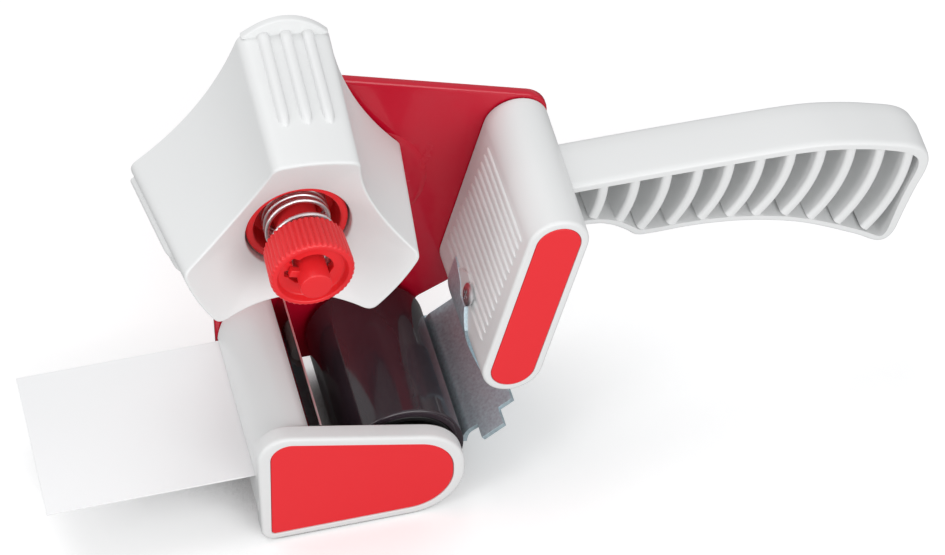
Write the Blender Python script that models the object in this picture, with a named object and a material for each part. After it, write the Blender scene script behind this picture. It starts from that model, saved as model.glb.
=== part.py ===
"""Hand-held packing tape dispenser for 50 mm tape on a 76 mm core.

A red pressed side plate carries everything: a three-lobed white hub with an adjustable brake, a rubber
roller, a toothed blade under a white guard with a wiping flap, a zinc-plated bracket and a ribbed grip.
The hub's axis runs along Y, the plate's near face is at y = 0 before the whole is stood on the floor,
the open side faces -Y, the grip points to +X and +Z is up. All lengths are in metres.
"""
import math

import bmesh
import bpy
from mathutils import Matrix, Vector
from mathutils.geometry import intersect_point_line

mm = 0.001

# Driving sizes
tape_width = 50.0 * mm
core_radius = 38.0 * mm
sheet = 1.2 * mm
gap = 0.3 * mm
running_gap = 0.4 * mm
overrun = 2.0 * mm
merge_distance = 0.001 * mm
clear_share = 0.97
sharp_edge = math.radians(32)

# Side plate, seen along Y from the hub's axis
plate_left = -17.8 * mm
plate_top_at_axis = 19.5 * mm
plate_top_fall = math.radians(18.6)
plate_right_at_axis = 78.8 * mm
plate_lean = math.radians(14.8)
plate_heel_x = 38.6 * mm
plate_heel_z = -75.3 * mm
plate_heel_rise = math.radians(26.0)
plate_bottom = -91.5 * mm
plate_hub_corner = 18.7 * mm
plate_back_corner = 8.0 * mm
plate_small_corner = 4.0 * mm

# Roller
roller_x = 23.2 * mm
roller_z = -80.0 * mm
roller_radius = 16.2 * mm
sleeve_wall = 2.0 * mm
roller_end_gap = 2.5 * mm
roller_short_of_tape = 2.6 * mm
roller_length = tape_width - roller_short_of_tape
axle_radius = 3.7 * mm

# Hub
hub_back = -2.0 * mm
hub_short_of_tape = 6.5 * mm
hub_length = tape_width - hub_short_of_tape
hub_turn = math.radians(82.0)
lobes = 3
lobe_back_reach = 36.6 * mm
lobe_front_reach = 30.6 * mm
lobe_crown = 1.1 * mm
lobe_back_half = 11.7 * mm
lobe_front_half = 11.05 * mm
valley_back_reach = 24.0 * mm
valley_front_reach = 20.4 * mm
valley_set_back = 4.3 * mm
hub_wall = 2.2 * mm
hub_flange_reach = 41.2 * mm
hub_flange_corner = 35.9 * mm
hub_flange_thickness = 1.5 * mm
recess_radius = 13.8 * mm
dish_depth = 8.5 * mm
recess_depth = 13.0 * mm

# Brake in the hub
spindle_radius = 5.6 * mm
post_radius = 4.05 * mm
post_past_tape = 8.0 * mm
post_end = -(tape_width + post_past_tape)
knob_past_tape = 4.0 * mm
knob_front = -(tape_width + knob_past_tape)
knob_length = 10.6 * mm
knob_back_radius = 10.9 * mm
knob_front_radius = 11.6 * mm
knob_wall = 1.7 * mm
flutes = 44
spring_radius = 8.2 * mm
spring_wire = 1.3 * mm
spring_close_turns = 3.25
spring_close_pitch = 2.17 * mm
spring_open_turns = 1.5

# Guard, seen along Y
guard_left = -18.3 * mm
guard_right = 38.4 * mm
guard_bottom = -96.7 * mm
guard_top_at_left = -54.8 * mm
guard_top_fall = math.radians(14.6)
guard_nose_corner = 7.6 * mm
guard_round = 14.4 * mm
guard_toe_corner = 3.6 * mm
cap_depth = 5.0 * mm
cap_past_tape = 7.0 * mm
guard_front = -(tape_width + cap_past_tape)
guard_wall = 2.0 * mm

# Flap
flap_tip = -73.4 * mm
flap_z = -76.5 * mm
flap_thickness = 0.5 * mm

# Block and grip
block_far_top = (66.4 * mm, -13.5 * mm)
block_far_bottom = (54.4 * mm, -57.6 * mm)
block_far_radius = 9.0 * mm
block_near_top = (65.7 * mm, -13.0 * mm)
block_near_bottom = (54.0 * mm, -57.4 * mm)
block_near_radius = 8.35 * mm
block_short_of_tape = 2.7 * mm
block_near = -(tape_width - block_short_of_tape)
grip_start = 73.0 * mm
grip_length = 100.9 * mm
grip_top = -11.2 * mm
grip_drop = 43.1 * mm
grip_near = -29.0 * mm
grip_far = -12.0 * mm
grip_round = 1.6 * mm
grip_wall = 2.7 * mm
rib_first = 10.2 * mm
rib_end_room = 4.5 * mm
rib_pitch = 8.6 * mm
rib_closing = 0.018 * mm
rib_count = math.floor((grip_length - rib_first - rib_end_room) / rib_pitch) + 1
rib_thickness = 1.6 * mm
rib_radius = 21.0 * mm

# Zinc-plated bracket, seen along Y
bracket_lip_x = 40.2 * mm
bracket_lip_bottom = -91.0 * mm
bracket_bend_x = 43.2 * mm
bracket_bend_z = -79.4 * mm
bracket_edge_x = 54.2 * mm
bracket_edge_z = -71.6 * mm


# Scene and materials


def clear_scene():
    for thing in list(bpy.data.objects):
        bpy.data.objects.remove(thing, do_unlink=True)


def paint(name, colour, roughness, metallic=0.0):
    """A plain Principled material."""
    material = bpy.data.materials.new(name)
    material.use_nodes = True
    shader = material.node_tree.nodes["Principled BSDF"]
    shader.inputs["Base Color"].default_value = (*colour, 1.0)
    shader.inputs["Roughness"].default_value = roughness
    shader.inputs["Metallic"].default_value = metallic
    return material


def white_plastic(name):
    return paint(name, (0.80, 0.81, 0.81), 0.45)


def red_plastic(name):
    return paint(name, (0.72, 0.03, 0.03), 0.4)


def red_inlay(name):
    return paint(name, (0.75, 0.04, 0.05), 0.3)


def crimson_paint(name):
    return paint(name, (0.42, 0.01, 0.03), 0.2)


def black_rubber(name):
    return paint(name, (0.012, 0.01, 0.012), 0.15)


def black_plastic(name):
    return paint(name, (0.02, 0.02, 0.02), 0.4)


def zinc(name):
    return paint(name, (0.62, 0.61, 0.63), 0.35, 1.0)


def bright_steel(name):
    return paint(name, (0.75, 0.75, 0.76), 0.2, 1.0)


def white_film(name):
    return paint(name, (0.86, 0.87, 0.87), 0.35)


def grey_felt(name):
    return paint(name, (0.25, 0.25, 0.25), 0.9)


# Outlines, as lists of (x, z)


def circle(radius, steps, centre=(0.0, 0.0)):
    angles = [math.tau * step / steps for step in range(steps)]
    return [(centre[0] + radius * math.cos(a), centre[1] + radius * math.sin(a)) for a in angles]


def rounded(corners, steps=5):
    """A polygon of (x, z, radius) corners, each turned into an arc that is tangent to both sides."""
    outline = []
    count = len(corners)
    for index, (x, z, radius) in enumerate(corners):
        corner = Vector((x, z))
        before = (Vector(corners[index - 1][:2]) - corner).normalized()
        after = (Vector(corners[(index + 1) % count][:2]) - corner).normalized()
        if radius == 0:
            outline.append((x, z))
            continue
        half = before.angle(after) / 2
        centre = corner + (before + after).normalized() * (radius / math.sin(half))
        start = corner + before * (radius / math.tan(half)) - centre
        end = corner + after * (radius / math.tan(half)) - centre
        turn = start.angle_signed(end)
        for step in range(steps + 1):
            spoke = Matrix.Rotation(-turn * step / steps, 2) @ start
            outline.append(tuple(centre + spoke))
    return outline


def smooth(points, steps):
    """A Catmull-Rom curve through the points, open at both ends."""
    ends = [points[0], *points, points[-1]]
    curve = []
    for a, b, c, d in zip(ends, ends[1:], ends[2:], ends[3:]):
        for step in range(steps):
            t = step / steps
            curve.append(tuple(
                0.5 * (2 * q + (r - p) * t + (2 * p - 5 * q + 4 * r - s) * t * t + (3 * q - p - 3 * r + s) * t ** 3)
                for p, q, r, s in zip(a, b, c, d)))
    curve.append(tuple(points[-1]))
    return curve


def reach_to(point, start, end):
    """The distance from a point to a straight edge."""
    foot, share = intersect_point_line(point, start, end)
    foot = Vector(start).lerp(Vector(end), min(max(share, 0.0), 1.0))
    return (Vector(point) - foot).length


def clear_of(points, edges, distance):
    """The points that keep their distance from every edge, so that tight corners don't fold over."""
    return [point for point in points
            if all(reach_to(point, *edge) > distance * clear_share for edge in edges)]


def inset(outline, distance, prune=True):
    """The closed outline moved inwards by the distance, corner by corner."""
    after = outline[1:] + outline[:1]
    area = sum(a[0] * b[1] - b[0] * a[1] for a, b in zip(outline, after))
    side = 1 if area > 0 else -1
    moved = []
    for before, here, following in zip(outline[-1:] + outline[:-1], outline, after):
        first = (Vector(here) - Vector(before)).normalized()
        second = (Vector(following) - Vector(here)).normalized()
        normals = [Vector((-edge.y, edge.x)) * side for edge in (first, second)]
        mitre = (normals[0] + normals[1]).normalized()
        reach = distance / max(mitre.dot(normals[0]), math.cos(math.radians(60)))
        moved.append((here[0] + mitre.x * reach, here[1] + mitre.y * reach))
    return clear_of(moved, list(zip(outline, after)), distance) if prune else moved


def obround(top, bottom, radius, steps=8):
    """A slot outline round two centres."""
    axis = Vector(top) - Vector(bottom)
    lean = math.atan2(axis.y, axis.x)
    outline = []
    for centre, first in ((top, lean - math.pi / 2), (bottom, lean + math.pi / 2)):
        for step in range(steps + 1):
            angle = first + math.pi * step / steps
            outline.append((centre[0] + radius * math.cos(angle), centre[1] + radius * math.sin(angle)))
    return outline


def strip(points, thickness):
    """The section of a sheet whose left face, going along the points, is the given line."""
    far_side = []
    for index, here in enumerate(points):
        before = Vector(points[max(index - 1, 0)])
        after = Vector(points[min(index + 1, len(points) - 1)])
        along = (after - before).normalized()
        far_side.append((here[0] + along.y * thickness, here[1] - along.x * thickness))
    edges = list(zip(points, points[1:]))
    return list(points) + clear_of(far_side, edges, thickness)[::-1]


# Solids


def facing(direction):
    """The turn that takes an object's own +Y to a direction (x, z)."""
    return Vector((direction[0], 0.0, direction[1])).to_track_quat("Y", "Z").to_euler()


def add(name, bm, material, place=(0.0, 0.0, 0.0), turn=(0.0, 0.0, 0.0)):
    bmesh.ops.remove_doubles(bm, verts=bm.verts, dist=merge_distance)
    bmesh.ops.recalc_face_normals(bm, faces=bm.faces)
    mesh = bpy.data.meshes.new(name)
    bm.to_mesh(mesh)
    bm.free()
    mesh.shade_smooth()
    mesh.set_sharp_from_angle(angle=sharp_edge)
    thing = bpy.data.objects.new(name, mesh)
    bpy.context.collection.objects.link(thing)
    thing.parent = stand
    thing.location = place
    thing.rotation_euler = turn
    if material is None:
        thing.hide_render = True
        thing.display_type = "WIRE"
    else:
        mesh.materials.append(material(name))
    return thing


def skin(bm, loops):
    """Walls between neighbouring rings of points, and a face at each end."""
    for one, two in zip(loops, loops[1:]):
        for index in range(len(one)):
            bm.faces.new((one[index - 1], one[index], two[index], two[index - 1]))
    bm.faces.new(loops[0])
    bm.faces.new(loops[-1])


def prism(name, outline, near, far, material=None, place=(0.0, 0.0, 0.0), turn=(0.0, 0.0, 0.0)):
    """An outline pushed along Y from near to far."""
    bm = bmesh.new()
    face = bm.faces.new([bm.verts.new((x, near, z)) for x, z in outline])
    grown = bmesh.ops.extrude_face_region(bm, geom=[face])
    moved = [item for item in grown["geom"] if isinstance(item, bmesh.types.BMVert)]
    bmesh.ops.translate(bm, verts=moved, vec=(0.0, far - near, 0.0))
    return add(name, bm, material, place, turn)


def skinned(name, rings, material=None):
    """A skin over rings of points with equal counts, closed at both ends."""
    bm = bmesh.new()
    skin(bm, [[bm.verts.new(point) for point in ring] for ring in rings])
    bmesh.ops.triangulate(bm, faces=[face for face in bm.faces if len(face.verts) == 4])
    return add(name, bm, material)


def loft(name, rings, material=None):
    """A skin over (y, outline) rings of equal length."""
    return skinned(name, [[(x, y, z) for x, z in outline] for y, outline in rings], material)


def turned(name, profile, steps, material=None, place=(0.0, 0.0, 0.0), turn=(0.0, 0.0, 0.0)):
    """A profile of (radius, y) spun round Y, open on the axis or closed away from it."""
    bm = bmesh.new()
    verts = [bm.verts.new((radius, y, 0.0)) for radius, y in profile]
    edges = [bm.edges.new(pair) for pair in zip(verts, verts[1:])]
    if profile[0][0] > 0:
        edges.append(bm.edges.new((verts[-1], verts[0])))
    bmesh.ops.spin(bm, geom=verts + edges, cent=(0, 0, 0), axis=(0, 1, 0), angle=math.tau, steps=steps,
                   use_merge=True)
    return add(name, bm, material, place, turn)


def ring_profile(inner, outer, near, far):
    return [(inner, near), (outer, near), (outer, far), (inner, far)]


def rod_profile(radius, near, far):
    return [(0.0, near), (radius, near), (radius, far), (0.0, far)]


def headed_profile(shank, head, tip, under_head, head_end):
    """A screw whose shank runs from its tip to its head, either way along Y."""
    return [(0.0, tip), (shank, tip), (shank, under_head), (head, under_head), (head, head_end), (0.0, head_end)]


def rivet_profile(shank, head, height, near, far):
    """A rivet with a head at both ends, its grip running from near to far."""
    return [(0.0, near - height), (head, near - height), (head, near), (shank, near), (shank, far), (head, far),
            (head, far + height), (0.0, far + height)]


def change(thing, tool, operation):
    modifier = thing.modifiers.new(tool.name, "BOOLEAN")
    modifier.operation = operation
    modifier.object = tool
    modifier.solver = "EXACT"


def cut(thing, *tools):
    for tool in tools:
        change(thing, tool, "DIFFERENCE")


def fuse(thing, *tools):
    for tool in tools:
        change(thing, tool, "UNION")


def drill(thing, name, radius, near, far, place, turn=(0.0, 0.0, 0.0), steps=16):
    """Cuts a round hole along the object's own Y through the given place."""
    cut(thing, turned(name, rod_profile(radius, near, far), steps, None, place, turn))


# Side plate: one pressed sheet, with a tab bent out of it for the blade

blade_top = (0.9 * mm, -63.1 * mm)
blade_lean = math.radians(22.8)
blade_height = 32.0 * mm
blade_thickness = 0.6 * mm
blade_tooth = 2.0 * mm
blade_side_margin = 0.5 * mm
tab_below_blade = 0.4 * mm
tab_share = 0.84
tab_near = -(tape_width - blade_side_margin)
blade_rivet_share = 0.46
blade_rivet_y_shares = (0.2, 0.8)
blade_rivet_radius = 1.4 * mm
blade_rivet_head = 2.2 * mm
blade_rivet_height = 0.8 * mm
down_blade = (-math.sin(blade_lean), -math.cos(blade_lean))
off_blade = (-math.cos(blade_lean), math.sin(blade_lean))

screw_radius = 2.1 * mm
screw_head = 4.2 * mm
screw_head_height = 2.0 * mm
screw_seat = sheet + gap
spindle_screw_radius = 2.4 * mm
handle_screw_shares = (0.28, 0.74)
guard_lug_x = -11.2 * mm
guard_lug_z = -69.8 * mm
guard_lug_radius = 3.6 * mm
ear_rivet_x = 35.0 * mm
ear_rivet_z = (-84.5 * mm, -88.7 * mm)
ear_rivet_radius = 1.2 * mm
ear_rivet_head = 1.9 * mm
ear_rivet_height = 0.5 * mm


def on_blade(down, left):
    """A point in the blade's section: so far down from its top edge, and so far out to the left."""
    return (blade_top[0] + down_blade[0] * down + off_blade[0] * left,
            blade_top[1] + down_blade[1] * down + off_blade[1] * left)


def blade_rivet_places():
    x, z = on_blade(blade_height * blade_rivet_share, 0.0)
    return [(x, tab_near * share, z) for share in blade_rivet_y_shares]


def block_middle(share):
    """A place on the block's middle line at its far end, from its upper centre (0) to its lower one (1)."""
    x, z = (a + (b - a) * share for a, b in zip(block_far_top, block_far_bottom))
    return (x, 0.0, z)


def plate_outline():
    slope = math.tan(plate_top_fall)
    lean = math.tan(plate_lean)
    rise = math.tan(plate_heel_rise)
    top_left_z = plate_top_at_axis - plate_left * slope
    back_x = (plate_right_at_axis + plate_top_at_axis * lean) / (1 + slope * lean)
    back_z = plate_top_at_axis - back_x * slope
    foot_x = (plate_right_at_axis + (plate_heel_z - plate_heel_x * rise) * lean) / (1 - rise * lean)
    foot_z = plate_heel_z + (foot_x - plate_heel_x) * rise
    return rounded([
        (plate_left, top_left_z, plate_hub_corner),
        (back_x, back_z, plate_back_corner),
        (foot_x, foot_z, plate_small_corner),
        (plate_heel_x, plate_heel_z, 0),
        (plate_heel_x, plate_bottom, plate_small_corner),
        (plate_left, plate_bottom, plate_small_corner),
    ])


def make_side_plate():
    outline = plate_outline()
    plate = prism("side_plate", outline, 0.0, sheet, crimson_paint)
    outer = gap + sheet
    end = blade_height * tab_share
    tab = prism("plate_tab", [on_blade(tab_below_blade, gap), on_blade(tab_below_blade, outer),
                              on_blade(end, outer), on_blade(end, gap)], tab_near, sheet / 2)
    fuse(plate, tab)
    through = (-overrun, sheet + overrun)
    for index, share in enumerate(handle_screw_shares):
        drill(plate, f"plate_block_hole_{index}", screw_radius + gap, *through, block_middle(share))
    drill(plate, "plate_spindle_hole", spindle_screw_radius + gap, *through, (0.0, 0.0, 0.0))
    drill(plate, "plate_axle_hole", axle_radius + gap, *through, (roller_x, 0.0, roller_z), steps=24)
    drill(plate, "plate_guard_hole", guard_screw_radius + gap, *through, (guard_lug_x, 0.0, guard_lug_z))
    for index, z in enumerate(ear_rivet_z):
        drill(plate, f"plate_ear_hole_{index}", ear_rivet_radius + gap, *through, (ear_rivet_x, 0.0, z))
    for index, place in enumerate(blade_rivet_places()):
        drill(plate, f"plate_blade_hole_{index}", blade_rivet_radius + gap, -overrun, outer + overrun, place,
              facing(off_blade))


# Blade: a hardened strip with a row of teeth along its lower edge


def make_blade():
    near = tab_near + blade_side_margin
    far = -blade_side_margin
    teeth = round((far - near) / blade_tooth)
    pitch = (far - near) / teeth
    edge = [(near, 0.0), (far, 0.0)]
    for tooth in range(teeth):
        edge.append((far - tooth * pitch, blade_height - blade_tooth))
        edge.append((far - tooth * pitch - pitch / 2, blade_height))
    edge.append((near, blade_height - blade_tooth))
    bm = bmesh.new()
    sides = []
    for left in (0.0, -blade_thickness):
        section = [(on_blade(down, left), y) for y, down in edge]
        sides.append([bm.verts.new((x, y, z)) for (x, z), y in section])
    skin(bm, sides)
    blade = add("cutter_blade", bm, bright_steel)
    names = ("near", "far")
    for name, place in zip(names, reversed(blade_rivet_places())):
        drill(blade, f"blade_hole_{name}", blade_rivet_radius + gap, -overrun, overrun, place, facing(off_blade))
        turned(f"blade_rivet_{name}", rivet_profile(blade_rivet_radius, blade_rivet_head, blade_rivet_height,
                                                    -blade_thickness - gap, gap + sheet + gap),
               14, bright_steel, place, facing(off_blade))


# Roller: a rubber sleeve on a moulded core that turns on a fixed axle

axle_collar_radius = 6.0 * mm
axle_collar = 1.0 * mm
axle_head_height = 1.3 * mm
axle_past_tape = 1.3 * mm
axle_end = -(tape_width + axle_past_tape)
washer_thickness = 0.6 * mm
core_wall = 1.5 * mm
core_hub_radius = 6.5 * mm
core_web = 2.0 * mm
core_web_inset = 7.0 * mm
core_hub_inset = 2.4 * mm
clip_thickness = 0.8 * mm
clip_groove = 0.6 * mm
guard_screw_radius = 1.5 * mm
guard_screw_grip = 6.5 * mm


def make_roller():
    place = (roller_x, 0.0, roller_z)
    far = -roller_end_gap
    near = far - roller_length
    inner = roller_radius - sleeve_wall
    turned("roller_sleeve", ring_profile(inner, roller_radius, near, far), 56, black_rubber, place)
    rim = inner - gap
    bore = axle_radius + running_gap
    hub_near = near + core_hub_inset
    web_far = near + core_web_inset
    web_near = web_far - core_web
    turned("roller_core", [
        (bore, hub_near), (core_hub_radius, hub_near), (core_hub_radius, web_near), (rim - core_wall, web_near),
        (rim - core_wall, near + gap), (rim, near + gap), (rim, far - gap), (rim - core_wall, far - gap),
        (rim - core_wall, web_far), (core_hub_radius, web_far), (core_hub_radius, far), (bore, far)],
        40, black_plastic, place)

    groove_far = hub_near - gap
    groove_near = groove_far - clip_thickness - gap
    groove = axle_radius - clip_groove
    collar_near = -(gap + axle_collar)
    axle = turned("roller_axle", [
        (0.0, axle_end), (axle_radius, axle_end), (axle_radius, groove_near), (groove, groove_near),
        (groove, groove_far), (axle_radius, groove_far), (axle_radius, collar_near),
        (axle_collar_radius, collar_near), (axle_collar_radius, -gap), (axle_radius, -gap),
        (axle_radius, screw_seat), (axle_collar_radius, screw_seat),
        (axle_collar_radius, screw_seat + axle_head_height), (0.0, screw_seat + axle_head_height)],
        24, bright_steel, place)
    drill(axle, "axle_tap", guard_screw_radius + gap, axle_end - overrun, axle_end + guard_screw_grip + overrun, place)
    seat = collar_near - gap
    turned("roller_washer", ring_profile(bore, axle_collar_radius, seat - washer_thickness, seat), 24, bright_steel,
           place)
    turned("roller_clip", ring_profile(groove + gap, axle_collar_radius, groove_near + gap / 2, groove_far - gap / 2),
           20, bright_steel, place)


# Hub: a hollow three-lobed moulding, wide at the plate and narrow at the open side

hub_front = hub_back - hub_length
recess_rim = hub_front + dish_depth
recess_floor = recess_rim + recess_depth
hub_floor = 2.5 * mm
hub_boss_radius = 8.6 * mm
valley_steps = 8
hub_boss_back = -3.0 * mm
column_wall = 2.0 * mm
grip_rib_clearance = 0.4 * mm
grip_rib_reach = core_radius - grip_rib_clearance
grip_rib_half = 1.3 * mm
grip_rib_spacing = 5.8 * mm
grip_rib_level_end = -29.0 * mm
grip_rib_end = -34.0 * mm
grip_rib_shares = ((-1.0, 0.0), (-0.72, 0.7), (-0.34, 1.0), (0.34, 1.0), (0.72, 0.7), (1.0, 0.0))


def lobed(tip, half_width, valley, ribs=0.0):
    """The hub's section, as points with a share that grows from 0 on a lobe to 1 in mid-valley."""
    outline = []
    spread = math.tau / lobes
    offsets = [(-half_width, 0.0), (half_width, 0.0)]
    for place in (-1, 0, 1):
        offsets += [(place * grip_rib_spacing + across * grip_rib_half, up) for across, up in grip_rib_shares]
    corner = tip - lobe_crown
    for lobe in range(lobes):
        middle = hub_turn + lobe * spread
        for offset, up in sorted(offsets):
            surface = tip - lobe_crown * (offset / half_width) ** 2
            crest = math.sqrt(grip_rib_reach ** 2 - offset ** 2)
            point = Matrix.Rotation(middle, 2) @ Vector((surface + (crest - surface) * up * ribs, offset))
            outline.append((point.x, point.y, 0.0))
        start = Vector(outline[-1][:2])
        end = Matrix.Rotation(middle + spread, 2) @ Vector((corner, -half_width))
        chord = (start + end) / 2
        sag = chord.length - valley
        for step in range(1, valley_steps):
            t = step / valley_steps
            arch = 4 * t * (1 - t)
            point = start.lerp(end, t) - chord.normalized() * (sag * arch)
            outline.append((point.x, point.y, arch))
    return outline


def hub_ring(y, shrink=0.0, ribs=0.0):
    """The hub's points (x, y, z) at a place along it, with the valleys set back towards the plate."""
    share = (hub_back - y) / hub_length
    reach, half, valley = (far + (near - far) * share - shrink for far, near in (
        (lobe_back_reach, lobe_front_reach), (lobe_back_half, lobe_front_half),
        (valley_back_reach, valley_front_reach)))
    section = lobed(reach, half, valley, ribs)
    return [(x, y + valley_set_back * share * arch, z) for x, z, arch in section]


def centred_ring(ring, radius, y):
    """A circle with a point straight inside each point of the ring."""
    return [(radius * x / math.hypot(x, z), y, radius * z / math.hypot(x, z)) for x, _, z in ring]


def flange_outline():
    """A thin crescent beyond the top lobe, which keeps the tape off the plate."""
    steps = 12
    inner = lobe_back_reach - hub_wall / 2
    half = lobe_back_half - gap
    edge = [(inner, -half), (inner, half)]
    for step in range(steps + 1):
        side = 1 - 2 * step / steps
        edge.append((hub_flange_corner + (hub_flange_reach - hub_flange_corner) * (1 - side * side),
                     half * side))
    spin = Matrix.Rotation(hub_turn, 2)
    return [tuple(spin @ Vector(point)) for point in edge]


def make_hub():
    start = hub_back - hub_flange_thickness / 2
    middle = (grip_rib_level_end + grip_rib_end) / 2
    rings = [hub_ring(y, 0.0, ribs) for y, ribs in (
        (start, 1.0), (grip_rib_level_end, 1.0), (middle, 0.6), (grip_rib_end, 0.0), (hub_front, 0.0))]
    rings.append(centred_ring(rings[-1], recess_radius, recess_rim))
    hub = skinned("hub_core", rings, white_plastic)
    fuse(hub, prism("hub_flange", flange_outline(), hub_back - hub_flange_thickness, hub_back))
    inside_front = hub_front + hub_wall
    rings = [hub_ring(y, hub_wall) for y in (hub_back, inside_front)]
    rings.append(centred_ring(rings[-1], recess_radius + column_wall * 2, recess_rim + hub_wall))
    rings[0] = [(x, hub_back + overrun, z) for x, _, z in rings[0]]
    hollow = skinned("hub_hollow", rings)
    shoulder = recess_floor + hub_floor
    column = turned("hub_column", [
        (0.0, recess_rim + hub_wall / 2), (recess_radius + column_wall, recess_rim + hub_wall / 2),
        (recess_radius + column_wall, shoulder), (hub_boss_radius, shoulder), (hub_boss_radius, hub_boss_back),
        (0.0, hub_boss_back)], 44)
    bore = spindle_radius + running_gap
    bored = turned("hub_bore", [
        (0.0, recess_rim - overrun), (recess_radius, recess_rim - overrun), (recess_radius, recess_floor),
        (bore, recess_floor), (bore, hub_back + overrun), (0.0, hub_back + overrun)], 44)
    cut(hub, hollow)
    fuse(hub, column)
    cut(hub, bored)


# Spindle and brake: felt ring, cup, spring, washer, and the fluted knob that bears on the post's lug

spindle_flange_radius = 9.5 * mm
spindle_flange = 2.0 * mm
shaft_past_hub = 1.0 * mm
shaft_end = hub_front + shaft_past_hub
spindle_tap = 14.0 * mm
spindle_washer_radius = 6.2 * mm
felt_thickness = 1.4 * mm
felt_inner = 6.6 * mm
felt_outer = 12.4 * mm
cup_clearance = 0.5 * mm
cup_wall = 1.8 * mm
cup_floor = 1.8 * mm
cup_proud = 0.4 * mm
knob_web = 1.8 * mm
knob_dish = 2.9 * mm
seat_thickness = 1.2 * mm
lug_width = 2.2 * mm
lug_reach = 2.1 * mm
lug_thickness = 1.8 * mm
lug_turn = math.radians(118.0)
notch_turn = math.radians(200.0)
notch_width = 3.2 * mm
flute_depth = 0.45 * mm
knob_band = 1.5 * mm
spring_dead_pitch = 1.75 * mm
spring_dead_turns = 1

felt_far = recess_floor - gap
felt_near = felt_far - felt_thickness
cup_far = felt_near - gap
spring_far = cup_far - cup_floor - gap
web_near = knob_front + knob_dish
web_far = web_near + knob_web
seat_near = web_far + gap
seat_far = seat_near + seat_thickness
spring_near = seat_far + gap


def key(reach, width, turn):
    """A bar from the axis outwards, in the direction that the turn gives."""
    bar = [(0.0, -width / 2), (reach, -width / 2), (reach, width / 2), (0.0, width / 2)]
    spin = Matrix.Rotation(turn, 2)
    return [tuple(spin @ Vector(point)) for point in bar]


def make_spindle():
    edge = gap
    spindle = turned("spindle", [
        (0.0, post_end), (post_radius - edge, post_end), (post_radius, post_end + edge), (post_radius, shaft_end),
        (spindle_radius, shaft_end), (spindle_radius, -spindle_flange), (spindle_flange_radius, -spindle_flange),
        (spindle_flange_radius, -gap), (0.0, -gap)], 32, red_plastic)
    lug_far = web_near - gap
    fuse(spindle, prism("spindle_lug", key(post_radius + lug_reach, lug_width, lug_turn), lug_far - lug_thickness,
                        lug_far))
    drill(spindle, "spindle_tap", spindle_screw_radius + gap, -spindle_tap, overrun, (0.0, 0.0, 0.0), steps=20)
    washer_far = screw_seat + washer_thickness
    turned("spindle_washer", ring_profile(spindle_screw_radius + gap, spindle_washer_radius, screw_seat, washer_far),
           24, bright_steel)
    under_head = washer_far + gap
    turned("spindle_screw", headed_profile(spindle_screw_radius, screw_head, -spindle_tap + overrun, under_head,
                                           under_head + screw_head_height), 24, bright_steel)


def make_brake():
    turned("brake_felt", ring_profile(felt_inner, felt_outer, felt_near, felt_far), 40, grey_felt)
    hole = spindle_radius + gap
    outer = recess_radius - cup_clearance
    inner = outer - cup_wall
    cup_front = recess_rim + cup_proud
    turned("brake_cup", [
        (hole, cup_far), (outer, cup_far), (outer, cup_front), (inner, cup_front), (inner, cup_far - cup_floor),
        (hole, cup_far - cup_floor)], 48, red_plastic)
    turned("brake_washer", ring_profile(post_radius + running_gap, spring_radius + spring_wire / 2, seat_near,
                                        seat_far), 32, bright_steel)


def spring_path(steps):
    """The wire's middle line: close turns in the cup, open ones to the knob, a dead one, straight ends."""
    first = spring_far - spring_wire / 2
    last = spring_near + spring_wire / 2
    close, dead = spring_close_turns, spring_dead_turns
    left_over = first - last - close * spring_close_pitch - dead * spring_dead_pitch
    open_pitch = left_over / spring_open_turns
    turns = close + spring_open_turns + dead
    points = []
    for step in range(round(turns * steps) + 1):
        turn = step / steps
        along = min(turn, close) * spring_close_pitch
        along += min(max(turn - close, 0.0), spring_open_turns) * open_pitch
        along += max(turn - close - spring_open_turns, 0.0) * spring_dead_pitch
        angle = math.tau * turn
        points.append(Vector((spring_radius * math.cos(angle), first - along, spring_radius * math.sin(angle))))
    for end, inner in ((0, 1), (-1, -2)):
        run = points[end] - points[inner]
        run.y = 0.0
        straight = points[end] + run.normalized() * spring_wire
        points.insert(0 if end == 0 else len(points), straight)
    return points


def make_spring():
    steps = 8
    points = spring_path(steps)
    apart = min((a - b).length for index, a in enumerate(points) for b in points[index + steps // 2 + 1:])
    print("brake_spring least gap to itself, mm:", round((apart - spring_wire) / mm, 3))
    curve = bpy.data.curves.new("brake_spring", "CURVE")
    curve.dimensions = "3D"
    curve.bevel_depth = spring_wire / 2
    curve.bevel_resolution = 1
    curve.use_fill_caps = True
    wire = curve.splines.new("POLY")
    wire.points.add(len(points) - 1)
    for spot, point in zip(wire.points, points):
        spot.co = (*point, 1.0)
    curve.materials.append(bright_steel("brake_spring"))
    spring = bpy.data.objects.new("brake_spring", curve)
    bpy.context.collection.objects.link(spring)
    spring.parent = stand


def fluted(radius):
    points = []
    for step in range(flutes * 2):
        angle = math.tau * step / (flutes * 2)
        reach = radius - flute_depth * (step % 2)
        points.append((reach * math.cos(angle), reach * math.sin(angle)))
    return points


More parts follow.
